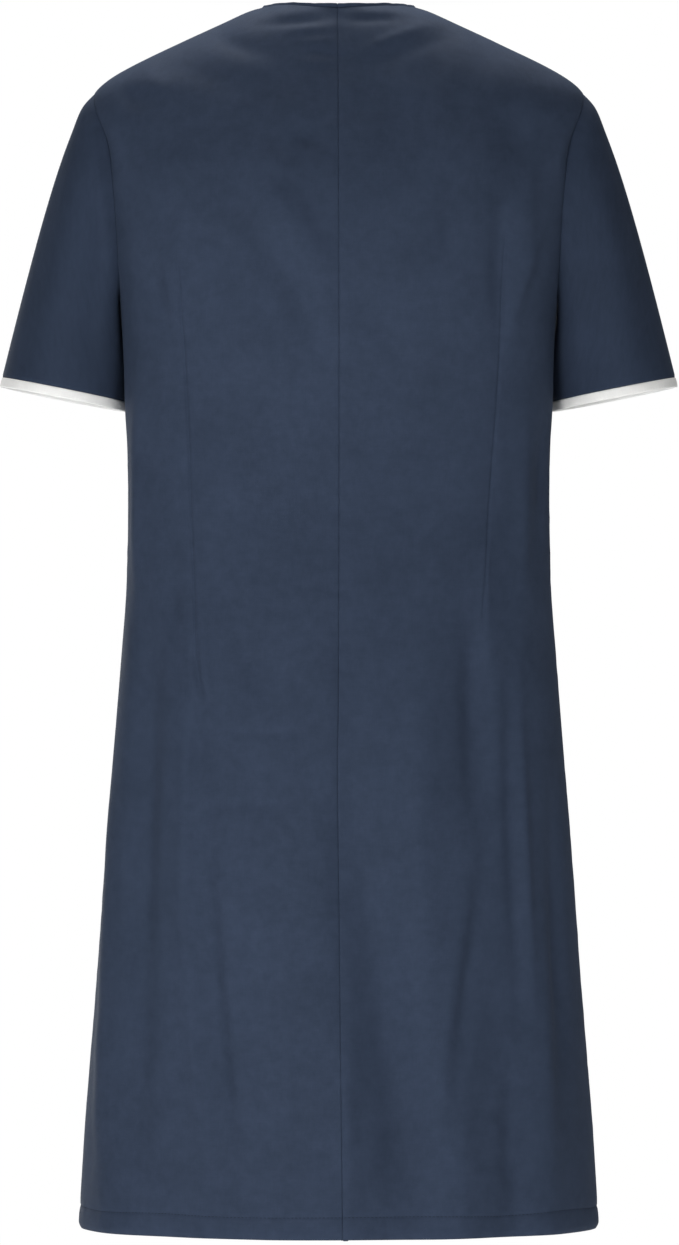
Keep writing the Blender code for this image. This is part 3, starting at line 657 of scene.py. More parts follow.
def puckers(along, away, seed, pitch, height, reach):
    """Small gathers that a line of stitches draws in on both of its sides."""
    rng = np.random.default_rng(seed)
    low, high = float(along.min()), float(along.max())
    total = np.zeros_like(along)
    at = low
    while at < high:
        at += pitch * rng.uniform(0.55, 1.6)
        slant = rng.uniform(-0.25, 0.25)
        spread = pitch * rng.uniform(0.16, 0.34)
        out = reach * rng.uniform(0.5, 1.5)
        rise = height * rng.uniform(-1.0, 0.8)
        total += rise * np.exp(-((along - at - slant * away) / spread) ** 2
                               - (away / out) ** 2)
    return total


SeamPoint = namedtuple("SeamPoint", "z x")
CENTRE_SEAM = [SeamPoint(-1.038, -0.0034), SeamPoint(-0.930, -0.0020), SeamPoint(-0.780, -0.0006),
               SeamPoint(-0.640, +0.0010), SeamPoint(-0.590, +0.0002), SeamPoint(-0.300, -0.0003),
               SeamPoint(-0.120, +0.0002), SeamPoint(0.000, +0.0010)]


def seam_bend(arc, z):
    """The centre back seam is not quite straight: sideways shift near it."""
    middle = column_curve([q.z for q in CENTRE_SEAM], [q.x for q in CENTRE_SEAM])(z)
    return middle * np.exp(-(arc / 0.045) ** 2)


def neck_corner(p):
    """Rounds the corner where the neck meets the shoulder seam."""
    return (0.0013 * np.exp(-((np.abs(p[..., 0]) - 0.063) / 0.010) ** 2)
            * smooth_step((p[..., 2] + 0.020) / 0.016))


def groove(away, depth, reach):
    return -depth * np.exp(-(away / reach) ** 2)


def dart_relief(dart, p, arc_signed, arc, side):
    """A pinched line with a little fullness let out at both of its tips."""
    z = p[..., 2]
    x = np.abs(p[..., 0])
    slope = np.gradient(x, axis=1) / np.maximum(np.gradient(arc, axis=1), 1e-9)
    away = (x - dart_x(dart, z)) / np.maximum(slope, 0.25)
    span = dart.z_tip_top - dart.z_tip_foot
    t = (dart.z_tip_top - z) / span
    on = smooth_step((t + 0.02) / 0.10) * smooth_step((1.02 - t) / 0.10)
    height = groove(away, 0.00120, 0.0012) * on
    # the pressed side stands a little above the other
    height += 0.00022 * on * np.tanh(away / 0.0012) * np.exp(-(away / 0.012) ** 2)
    height += groove(away, 0.00070, 0.0070) * on
    height += puckers(z, np.abs(away), 40 + side, 0.020, 0.00026, 0.006) * on
    for tip, sign in ((dart.z_tip_top, 1.0), (dart.z_tip_foot, -1.0)):
        off = (z - tip) * sign
        height += 0.0010 * np.exp(-(away / 0.011) ** 2 - ((off - 0.012) / 0.022) ** 2)
    return height


def hem_line(arc, seed):
    """Height of the hem's stitch line above the edge: slightly uneven."""
    rng = np.random.default_rng(seed)
    total = np.zeros_like(arc)
    for _ in range(7):
        wave = rng.uniform(0.05, 0.22)
        total += rng.uniform(0.2, 1.0) * np.sin(arc * 2 * math.pi / wave + rng.uniform(0, 6.28))
    return HEM_DEPTH + 0.00032 * total


# ================================================================ mesh making
def grid_faces(index, flip, wrap=False):
    if wrap:
        index = np.concatenate([index, index[:, :1]], axis=1)
    a, b = index[:-1, :-1].ravel(), index[:-1, 1:].ravel()
    c, d = index[1:, 1:].ravel(), index[1:, :-1].ravel()
    quads = np.stack([a, b, c, d], axis=1)
    return quads[:, ::-1] if flip else quads


def face_normals(verts, quads):
    p = verts[quads]
    n = np.cross(p[:, 2] - p[:, 0], p[:, 3] - p[:, 1])
    return n


def vertex_normals(verts, quads):
    n = face_normals(verts, quads)
    total = np.zeros_like(verts)
    for k in range(4):
        np.add.at(total, quads[:, k], n)
    return total / np.maximum(np.linalg.norm(total, axis=1, keepdims=True), 1e-15)


def border_edges(quads):
    """Directed edges used by one face only."""
    edges = np.concatenate([quads[:, [0, 1]], quads[:, [1, 2]], quads[:, [2, 3]], quads[:, [3, 0]]])
    low, high = edges.min(axis=1), edges.max(axis=1)
    key = low.astype(np.int64) * (int(edges.max()) + 1) + high
    _, first, count = np.unique(key, return_index=True, return_counts=True)
    return edges[first[count == 1]]


def closed_shell(name, verts, quads, thickness, uv, material):
    """Outer sheet, inner sheet set in by its thickness, and a rounded edge between."""
    verts = np.asarray(verts, float)
    thickness = np.broadcast_to(thickness, (len(verts),)).astype(float)
    normal = vertex_normals(verts, quads)
    inner = verts - normal * thickness[:, None]
    count = len(verts)
    rim = border_edges(quads)
    # which way is out across the border
    out = np.zeros_like(verts)
    along = verts[rim[:, 1]] - verts[rim[:, 0]]
    across = np.cross(along, normal[rim[:, 0]] + normal[rim[:, 1]])
    across /= np.maximum(np.linalg.norm(across, axis=1, keepdims=True), 1e-15)
    for k in (0, 1):
        np.add.at(out, rim[:, k], across)
    used = np.unique(rim)
    out[used] /= np.maximum(np.linalg.norm(out[used], axis=1, keepdims=True), 1e-15)
    half = 0.5 * thickness[used][:, None]
    middle = verts[used] - normal[used] * half + out[used] * half * 0.8
    where = np.full(count, -1)
    where[used] = np.arange(len(used)) + 2 * count
    a, b = rim[:, 0], rim[:, 1]
    faces = np.concatenate([
        quads,
        quads[:, ::-1] + count,
        np.stack([b, a, where[a], where[b]], axis=1),
        np.stack([where[b], where[a], a + count, b + count], axis=1)])
    points = np.concatenate([verts, inner, middle])
    all_uv = np.concatenate([uv, uv, uv[used]])
    return mesh_object(name, points, faces, all_uv, material)


def mesh_object(name, points, quads, uv, material):
    mesh = bpy.data.meshes.new(name)
    mesh.vertices.add(len(points))
    mesh.vertices.foreach_set("co", np.asarray(points, np.float32).ravel())
    mesh.loops.add(quads.size)
    mesh.loops.foreach_set("vertex_index", quads.astype(np.int32).ravel())
    mesh.polygons.add(len(quads))
    mesh.polygons.foreach_set("loop_start", np.arange(0, quads.size, quads.shape[1], dtype=np.int32))
    mesh.update(calc_edges=True)
    mesh.validate()
    if uv is not None:
        layer = mesh.uv_layers.new(name="cut")
        layer.data.foreach_set("uv", uv[quads.ravel()].astype(np.float32).ravel())
    mesh.shade_smooth()
    mesh.materials.append(material)
    ob = bpy.data.objects.new(name, mesh)
    bpy.context.scene.collection.objects.link(ob)
    return ob


def thread_run(name, points, normals, length, pitch, radius, material, seed=1):
    """Stitches along a line: each a short rounded thread that dives in at both ends."""
    rng = np.random.default_rng(seed)
    step = np.linalg.norm(np.diff(points, axis=0), axis=1)
    run = np.concatenate([[0.0], np.cumsum(step)])
    count = int((run[-1] - length) / pitch)
    starts = (np.arange(count) + 0.3) * pitch + rng.uniform(-0.04, 0.04, count) * pitch
    t = np.linspace(0.0, 1.0, 6)
    at = starts[:, None] + t[None, :] * length
    centre = np.stack([np.interp(at, run, points[:, k]) for k in range(3)], axis=-1)
    up = np.stack([np.interp(at, run, normals[:, k]) for k in range(3)], axis=-1)
    up /= np.linalg.norm(up, axis=-1, keepdims=True)
    rise = np.array([-1.6, -0.1, 0.35, 0.35, -0.1, -1.6]) * radius
    centre = centre + up * rise[None, :, None]
    ahead = np.gradient(centre, axis=1)
    ahead /= np.linalg.norm(ahead, axis=-1, keepdims=True)
    side = np.cross(ahead, up)
    side /= np.linalg.norm(side, axis=-1, keepdims=True)
    top = np.cross(side, ahead)
    sides = 6
    phi = np.linspace(0.0, 2 * math.pi, sides, endpoint=False)
    wide = np.array([0.35, 0.9, 1.0, 1.0, 0.9, 0.35]) * radius
    ring = (centre[:, :, None, :]
            + wide[None, :, None, None] * (np.cos(phi)[None, None, :, None] * side[:, :, None, :]
                                           + np.sin(phi)[None, None, :, None] * top[:, :, None, :]))
    verts = ring.reshape(-1, 3)
    index = np.arange(len(verts)).reshape(count, 6, sides)
    quads = []
    for k in range(sides):
        n = (k + 1) % sides
        quads.append(np.stack([index[:, :-1, k].ravel(), index[:, :-1, n].ravel(),
                               index[:, 1:, n].ravel(), index[:, 1:, k].ravel()], axis=1))
    for ring_at, order in ((0, (3, 2, 1, 0)), (5, (0, 1, 2, 3))):
        quads.append(np.stack([index[:, ring_at, order[i]] for i in range(4)], axis=1))
        second = (0, 5, 4, 3) if ring_at == 0 else (3, 4, 5, 0)
        quads.append(np.stack([index[:, ring_at, second[i]] for i in range(4)], axis=1))
    quads = np.concatenate(quads)[:, ::-1]
    return mesh_object(name, verts, quads, None, material)


# ================================================================ materials
def node_tools(material):
    tree = material.node_tree
    shader = tree.nodes["Principled BSDF"]

    def add(kind, **values):
        node = tree.nodes.new(kind)
        for key, value in values.items():
            setattr(node, key, value)
        return node

    def link(a, b):
        tree.links.new(a, b)
    return shader, add, link


def woven_material(name, tones, pitch, roughness, sheen, sheen_rough, sheen_tint,
                   bump, cloud, specular):
    """Plain-weave cloth: cloudy tone, fine yarn streaks, and over-and-under bump."""
    material = bpy.data.materials.new(name)
    material.use_nodes = True
    shader, add, link = node_tools(material)
    uv = add("ShaderNodeUVMap", uv_map="cut")
    place = add("ShaderNodeTexCoord")

    # soft clouds of tone over the dress
    cloudy = add("ShaderNodeTexNoise", noise_dimensions="3D")
    cloudy.inputs["Scale"].default_value = 20.0
    cloudy.inputs["Detail"].default_value = 4.0
    cloudy.inputs["Roughness"].default_value = 0.60
    link(place.outputs["Object"], cloudy.inputs["Vector"])
    # yarn streaks: noise drawn out along each thread direction
    streaks = []
    for stretch in ((1.0, 0.05, 1.0), (0.05, 1.0, 1.0)):
        mapping = add("ShaderNodeMapping")
        mapping.inputs["Scale"].default_value = stretch
        link(uv.outputs["UV"], mapping.inputs["Vector"])
        noise = add("ShaderNodeTexNoise", noise_dimensions="2D")
        noise.inputs["Scale"].default_value = 1.0 / (pitch * 1.7)
        noise.inputs["Detail"].default_value = 1.5
        link(mapping.outputs["Vector"], noise.inputs["Vector"])
        streaks.append(noise)
    both = add("ShaderNodeMath", operation="ADD")
    link(streaks[0].outputs["Fac"], both.inputs[0])
    link(streaks[1].outputs["Fac"], both.inputs[1])
    # mottling where the yarns are a little thicker or thinner
    mottle = add("ShaderNodeTexNoise", noise_dimensions="2D")
    mottle.inputs["Scale"].default_value = 95.0
    mottle.inputs["Detail"].default_value = 4.0
    mottle.inputs["Roughness"].default_value = 0.7
    link(uv.outputs["UV"], mottle.inputs["Vector"])
    mottle_part = add("ShaderNodeMath", operation="MULTIPLY")
    link(mottle.outputs["Fac"], mottle_part.inputs[0])
    mottle_part.inputs[1].default_value = 0.36
    cloud_part = add("ShaderNodeMath", operation="MULTIPLY_ADD")
    link(cloudy.outputs["Fac"], cloud_part.inputs[0])
    cloud_part.inputs[1].default_value = cloud
    link(mottle_part.outputs[0], cloud_part.inputs[2])
    scaled = add("ShaderNodeMath", operation="MULTIPLY_ADD")
    link(both.outputs[0], scaled.inputs[0])
    scaled.inputs[1].default_value = 0.5 * (0.64 - cloud)
    link(cloud_part.outputs[0], scaled.inputs[2])
    ramp = add("ShaderNodeValToRGB")
    ramp.color_ramp.elements[0].position = 0.32
    ramp.color_ramp.elements[0].color = (*tones[0], 1.0)
    ramp.color_ramp.elements[1].position = 0.68
    ramp.color_ramp.elements[1].color = (*tones[1], 1.0)
    link(scaled.outputs[0], ramp.inputs["Fac"])
    link(ramp.outputs["Color"], shader.inputs["Base Color"])

    # over-and-under: rounded threads both ways, offset like a chequer
    separate = add("ShaderNodeSeparateXYZ")
    link(uv.outputs["UV"], separate.inputs[0])
    wave = []
    for axis in ("X", "Y"):
        turn = add("ShaderNodeMath", operation="MULTIPLY")
        link(separate.outputs[axis], turn.inputs[0])
        turn.inputs[1].default_value = math.pi / pitch
        sine = add("ShaderNodeMath", operation="SINE")
        link(turn.outputs[0], sine.inputs[0])
        wave.append(sine)
    chequer = add("ShaderNodeMath", operation="MULTIPLY")
    link(wave[0].outputs[0], chequer.inputs[0])
    link(wave[1].outputs[0], chequer.inputs[1])
    square = []
    for w in wave:
        node = add("ShaderNodeMath", operation="ABSOLUTE")
        link(w.outputs[0], node.inputs[0])
        square.append(node)
    ridge = add("ShaderNodeMath", operation="ADD")
    link(square[0].outputs[0], ridge.inputs[0])
    link(square[1].outputs[0], ridge.inputs[1])
    height = add("ShaderNodeMath", operation="MULTIPLY_ADD")
    link(ridge.outputs[0], height.inputs[0])
    height.inputs[1].default_value = 0.5
    link(chequer.outputs[0], height.inputs[2])
    slub = add("ShaderNodeMath", operation="MULTIPLY_ADD")
    link(both.outputs[0], slub.inputs[0])
    slub.inputs[1].default_value = 0.9
    link(height.outputs[0], slub.inputs[2])
    bump_node = add("ShaderNodeBump")
    bump_node.inputs["Strength"].default_value = bump
    bump_node.inputs["Distance"].default_value = 0.00012
    link(slub.outputs[0], bump_node.inputs["Height"])
    link(bump_node.outputs["Normal"], shader.inputs["Normal"])

    rough = add("ShaderNodeMapRange")
    rough.inputs["From Min"].default_value = 0.3
    rough.inputs["From Max"].default_value = 0.7
    rough.inputs["To Min"].default_value = roughness - 0.05
    rough.inputs["To Max"].default_value = roughness + 0.05
    link(cloudy.outputs["Fac"], rough.inputs["Value"])
    link(rough.outputs["Result"], shader.inputs["Roughness"])
    shader.inputs["Sheen Weight"].default_value = sheen
    shader.inputs["Sheen Roughness"].default_value = sheen_rough
    shader.inputs["Sheen Tint"].default_value = (*sheen_tint, 1.0)
    shader.inputs["Specular IOR Level"].default_value = specular
    shader.inputs["Metallic"].default_value = 0.0
    return material


def thread_material(name, colour, roughness=0.6):
    material = bpy.data.materials.new(name)
    material.use_nodes = True
    shader, add, link = node_tools(material)
    place = add("ShaderNodeTexCoord")
    noise = add("ShaderNodeTexNoise")
    noise.inputs["Scale"].default_value = 900.0
    link(place.outputs["Object"], noise.inputs["Vector"])
    ramp = add("ShaderNodeValToRGB")
    ramp.color_ramp.elements[0].color = (*[0.8 * c for c in colour], 1.0)
    ramp.color_ramp.elements[1].color = (*[min(1.0, 1.2 * c) for c in colour], 1.0)
    link(noise.outputs["Fac"], ramp.inputs["Fac"])
    link(ramp.outputs["Color"], shader.inputs["Base Color"])
    bump_node = add("ShaderNodeBump")
    bump_node.inputs["Strength"].default_value = 0.4
    bump_node.inputs["Distance"].default_value = 0.0001
    link(noise.outputs["Fac"], bump_node.inputs["Height"])
    link(bump_node.outputs["Normal"], shader.inputs["Normal"])
    shader.inputs["Roughness"].default_value = roughness
    shader.inputs["Specular IOR Level"].default_value = 0.15
    return material


NAVY = woven_material(
    "navy_cloth", tones=((0.0205, 0.0308, 0.0540), (0.0316, 0.0450, 0.0770)), pitch=0.00042,
    roughness=0.82, sheen=0.015, sheen_rough=0.40, sheen_tint=(0.60, 0.76, 1.0),
    bump=0.26, cloud=0.44, specular=0.10)
# A darker copy of the navy cloth, used on the sleeves alone: painted shade, so that the sleeves read
# darker than the body.
NAVY_SLEEVE_PAINTED_SHADE = woven_material(
    "navy_cloth_sleeves_painted_shade", tones=((0.0174, 0.0264, 0.0468), (0.0262, 0.0380, 0.0662)), pitch=0.00042,
    roughness=0.82, sheen=0.015, sheen_rough=0.40, sheen_tint=(0.60, 0.76, 1.0),
    bump=0.26, cloud=0.44, specular=0.10)
WHITE = woven_material(
    "white_band_cloth", tones=((0.690, 0.690, 0.678), (0.780, 0.780, 0.765)), pitch=0.00038,
    roughness=0.80, sheen=0.06, sheen_rough=0.5, sheen_tint=(1.0, 1.0, 1.0),
    bump=0.30, cloud=0.25, specular=0.30)
# Navy thread, much darker than the cloth: partly the thread's own colour and partly painted shade, so that
# the stitch lines read as dark shaded lines.
THREAD_WITH_PAINTED_SHADE = thread_material("navy_thread_with_painted_shade", (0.0090, 0.0135, 0.026), 0.8)

# ================================================================ back panels
LOWER_BACK = np.concatenate([HEM_LEVELS, spaced(HEM_LEVELS[-1], UNDERARM_Z, BACK_LOWER_ROWS + 1)[1:]])
LOWER_FRONT = np.concatenate([
    HEM_LEVELS, spaced(HEM_LEVELS[-1], UNDERARM_Z, FRONT_LOWER_ROWS + 1,
                       focus=[(-0.265, 0.030, 1.6)])[1:]])
ARM = armhole_angles(ARM_ROWS)[::-1][1:]       # below pi, down to 0 at the tip
V_ROW = int(round(len(ARM) * 4 / 13))
TOP_WAYS = spaced(1.0, 0.0, TOP_ROWS + 1, focus=[(0.0, 0.11, 5.0)])[1:]


def eased_turn(p, row):
    """Round the rows' turn where the armhole meets the shoulder or side seam."""
    arc = along_rows(p)
    rows = np.arange(p.shape[0])[:, None]
    hold = (np.exp(-((rows - row) / 4.0) ** 2) * smooth_step((arc / arc[:, -1:] - 0.45) / 0.20)
            * smooth_step((arc[:, -1:] - arc - 0.001) / 0.010))
    for _ in range(14):
        middle = p.copy()
        middle[1:-1] = 0.5 * (p[:-2] + p[2:])
        p = p + 0.6 * hold[..., None] * (middle - p)
    return p


def back_panel(side):
    rows = len(LOWER_BACK) + len(ARM) + len(TOP_WAYS)
    dart = [d for d in DARTS if d.face == "back" and d.side == side][0]
    share = column_shares(back_rows, side, dart, rows, BACK_COLUMNS, 3.0, 3.6)
    p = eased_turn(back_rows(side, share), len(LOWER_BACK) + len(ARM) - 1)
    p = eased_turn(p, len(LOWER_BACK) - 1)
    arc = along_rows(p)
    edge = arc[:, -1:] - arc
    rise = along_columns(p)
    neck = rise[-1:] - rise
    z = p[..., 2]
    signed = side * arc
    normal = grid_normals(p) * (-1.0 if side > 0 else 1.0)
    if np.mean(normal[40, :, 1]) < 0:
        normal = -normal

    height = np.zeros_like(arc)
    for crease in CREASES:
        if crease.face == "back":
            height += crease_height(crease, signed, z)
    # the stitched double hem holds itself rounder than the cloth above
    height *= 1.0 - 0.5 * np.exp(-(rise / 0.070) ** 2)
    height += unevenness(signed, z, 11)
    turned = signed + 0.35 * z
    height += soft_dents(turned, z - 0.35 * signed, 101, 0.0105, 0.00010)
    height += soft_dents(turned + 0.20 * z, z, 102, 0.0240, 0.00030)
    height *= 1.0 - 0.97 * np.exp(-(edge / 0.025) ** 2)
    height += dart_relief(dart, p, signed, arc, side)
    # centre back seam
    height += groove(arc, 0.00042, 0.0009) + groove(arc, 0.00040, 0.0050)
    drawn = smooth_step((z + 0.86) / 0.12) * smooth_step((-0.40 - z) / 0.16)
    height += groove(arc, 0.00130, 0.0085) * drawn
    height += puckers(z, arc, 21, 0.015, 0.00080, 0.009)
    # side seam, armhole and shoulder seam
    height += groove(edge, 0.00050, 0.0010) + groove(edge, 0.00035, 0.0050)
    height += puckers(z, edge, 31 + side, 0.019, 0.00040, 0.008)
    # the panel swells, then turns in towards the upper armhole
    upper = np.exp(-((z + 0.120) / 0.022) ** 2)
    height += upper * (-0.0024 * np.exp(-(edge / 0.0065) ** 2)
                       + 0.0012 * np.exp(-((edge - 0.016) / 0.009) ** 2))
    # hem: stitched line with soft pulls above and below it
    line = hem_line(signed, 5)
    off = rise - line
    height += groove(off, 0.00062, 0.0010) + groove(off, 0.00040, 0.0050)
    height += puckers(signed, np.abs(off), 61, 0.015, 0.00065, 0.010)
    height -= 0.0024 * np.clip(1.0 - rise / 0.006, 0.0, 1.0) ** 2
    height += 0.00025 * np.exp(-((rise - 0.5 * line) / (0.42 * line)) ** 2)
    # neck: turned edge with its stitch line
    height += 0.0009 * np.exp(-(neck / 0.0014) ** 2) + groove(neck - 0.0030, 0.00045, 0.0009)
    height += puckers(signed, neck, 71, 0.014, 0.00045, 0.008)
    p = p + normal * height[..., None]
    # the cloth rolls forward over the shoulders to the neck
    p[..., 1] -= 0.0050 * np.exp(-(neck / 0.020) ** 2) * smooth_step((edge - 0.004) / 0.030)
    p[..., 2] -= neck_corner(p)
    # seam gaps
    p[:, 0, 0] = side * 0.00004
    p[..., 0] += seam_bend(arc, z)
    # edges draw back by half the gap
    inward = p[:, -2] - p[:, -1]
    inward /= np.linalg.norm(inward, axis=1, keepdims=True)
    p[:, -1] += inward * 0.5 * GAP
    thickness = CLOTH + (TURNED - CLOTH) * np.maximum(
        smooth_step((line + 0.0005 - rise) / 0.001), smooth_step((0.030 - neck) / 0.004))
    uv = np.stack([signed, rise], axis=-1)
    grid, thick, uv = with_allowances(p, normal, uv, thickness,
                                      UNDER_OTHER if side > 0 else UNDER_ITSELF, UNDER_OTHER)
    index = np.arange(grid.shape[0] * grid.shape[1]).reshape(grid.shape[:2])
    ob = closed_shell("back_left_cloth" if side > 0 else "back_right_cloth",
                      grid.reshape(-1, 3), grid_faces(index, side > 0), thick.ravel(),
                      uv.reshape(-1, 2), NAVY)
    return ob, p, normal, rise, line, neck


def front_half(side):
    rows = len(LOWER_FRONT) + len(ARM)
    dart = [d for d in DARTS if d.face == "front" and d.side == side][0]
    share = column_shares(front_rows, side, dart, rows, FRONT_COLUMNS, 3.0, 2.4)
    p = front_rows(side, share)
    arc = along_rows(p)
    edge = arc[:, -1:] - arc
    rise = along_columns(p)
    top = rise[-1:] - rise
    z = p[..., 2]
    n_low = len(LOWER_FRONT)
    v_rows = np.zeros(rows)
    v_rows[n_low + V_ROW - 1:] = 1.0
    start = np.abs(p[:, :1, 0])
    # distance along the surface from the centre line, also past the V edge
    signed = side * (arc + start * 1.02)
    normal = grid_normals(p)
    if np.mean(normal[40, :, 1]) > 0:
        normal = -normal
    height = np.zeros_like(arc)
    for crease in CREASES:
        if crease.face == "front":
            height += crease_height(crease, signed, z)
    height += unevenness(signed, z, 12)
    turned = signed + 0.35 * z
    height += soft_dents(turned, z - 0.35 * signed, 103, 0.0105, 0.00010)
    height += soft_dents(turned + 0.20 * z, z, 104, 0.0240, 0.00030)
    height *= 1.0 - 0.97 * np.exp(-(edge / 0.025) ** 2)
    height += dart_relief(dart, p, signed, arc, side)
    # bust dart: from the side seam up towards the fullest point
    reach = 0.085
    t = (edge / reach)
    dart_line = -0.292 + 0.036 * t
    on = smooth_step((1.04 - t) / 0.22)
    off = z - dart_line
    height += (groove(off, 0.00070, 0.0016) + groove(off, 0.00040, 0.0070)
               + 0.00030 * np.tanh(off / 0.0014) * np.exp(-(off / 0.012) ** 2)) * on
    height += 0.0012 * np.exp(-((edge - reach - 0.012) / 0.022) ** 2 - ((z + 0.254) / 0.020) ** 2)
    height += groove(edge, 0.00050, 0.0010) + groove(edge, 0.00035, 0.0050)
    height += puckers(z, edge, 35 + side, 0.019, 0.00040, 0.008)
    height += groove(top, 0.00070, 0.0012)
    line = hem_line(signed, 6)
    off = rise - line
    height += groove(off, 0.00062, 0.0010) + groove(off, 0.00040, 0.0050)
    height += puckers(signed, np.abs(off), 62, 0.015, 0.00065, 0.010)
    height -= 0.0024 * np.clip(1.0 - rise / 0.006, 0.0, 1.0) ** 2
    height += 0.00025 * np.exp(-((rise - 0.5 * line) / (0.42 * line)) ** 2)
    # turned V edge
    at_v = v_rows[:, None] * np.ones_like(arc)
    height += at_v * (groove(arc - 0.0062, 0.00045, 0.0011) + groove(arc, 0.0006, 0.0012))
    height += at_v * puckers(z, arc, 75 + side, 0.016, 0.00022, 0.009)
    p = p + normal * height[..., None]
    p[..., 2] -= neck_corner(p)
    inward = p[:, -2] - p[:, -1]
    inward /= np.linalg.norm(inward, axis=1, keepdims=True)
    p[:, -1] += inward * 0.5 * GAP
    down = p[-2] - p[-1]
    down /= np.linalg.norm(down, axis=1, keepdims=True)
    p[-1] += down * 0.9 * GAP
    p[:n_low + V_ROW, 0, 0] = 0.0
    near_v = np.where(at_v > 0, arc, 1.0)
    thickness = CLOTH + (TURNED - CLOTH) * np.maximum(
        smooth_step((line + 0.0005 - rise) / 0.001), smooth_step((0.030 - near_v) / 0.004))
    uv = np.stack([signed, rise], axis=-1)
    return p, normal, rise, line, thickness, uv, arc, n_low + V_ROW


def front_panel():
    left, right = front_half(+1), front_half(-1)
    pl, pr = left[0], right[0]
    joined = left[7]
    shared = 0.5 * (pl[:joined, 0] + pr[:joined, 0])
    pl[:joined, 0] = shared
    pr[:joined, 0] = shared
    pl, tl, ul = with_allowances(pl, left[1], left[5], left[4], [], SHORT)
    pr, tr, ur = with_allowances(pr, right[1], right[5], right[4], [], SHORT)
    size = pl.shape[0] * pl.shape[1]
    il = np.arange(size).reshape(pl.shape[:2])
    ir = np.arange(size).reshape(pr.shape[:2]) + size
    ir[:joined, 0] = il[:joined, 0]
    verts = np.concatenate([pl.reshape(-1, 3), pr.reshape(-1, 3)])
    quads = np.concatenate([grid_faces(il, False), grid_faces(ir, True)])
    used = np.unique(quads)
    renumber = np.full(len(verts), -1)
    renumber[used] = np.arange(len(used))
    thickness = np.concatenate([tl.ravel(), tr.ravel()])[used]
    uv = np.concatenate([ul.reshape(-1, 2), ur.reshape(-1, 2)])[used]
    ob = closed_shell("front_cloth", verts[used], renumber[quads], thickness, uv, NAVY)
    return ob, left, right


# ================================================================ sleeves
ROUND = np.concatenate([
    armhole_angles(SLEEVE_COLUMNS // 2),
    2.0 * math.pi - armhole_angles(SLEEVE_COLUMNS // 2)[::-1][1:-1]])


def cuff_loop(side, angles, grow=0.0):
    cx, cy, cz = CUFF_CENTRE
    x = cx + (CUFF_HALF[0] + grow) * np.cos(angles)
    y = cy + (CUFF_HALF[1] + grow) * np.sin(angles)
    z = cz + CUFF_TILT * (x - cx)
    return np.stack([side * x, y, z], axis=-1)


def sleeve_start(side, angles):
    at, into, normal = armhole_frame(side, angles)
    low = 0.5 * (1.0 - np.cos(angles))
    lean = np.radians(96.0 * low ** 0.55 + 44.0 * low ** 6)
    out = np.cos(lean)[:, None] * into + np.sin(lean)[:, None] * normal
    return at, out


def edge_shift(side):
    """How far the panels' armhole edges were moved, for each of the sleeve's angles."""
    known, moved = [], []
    around = np.concatenate([[math.pi], ARM])
    for turned, p, lower in ((around, back[side][1], len(LOWER_BACK)),
                             (2.0 * math.pi - around, front_halves[side][0], len(LOWER_FRONT))):
        place = body(side, *armhole(turned))
        known.append(turned)
        moved.append(p[lower - 1:lower + len(ARM), -1] - place)
    a = np.concatenate([known[0][::-1], known[1][1:]])
    m = np.concatenate([moved[0][::-1], moved[1][1:]])
    return np.stack([np.interp(ROUND, a, m[:, k], period=2.0 * math.pi) for k in range(3)],
                    axis=-1)


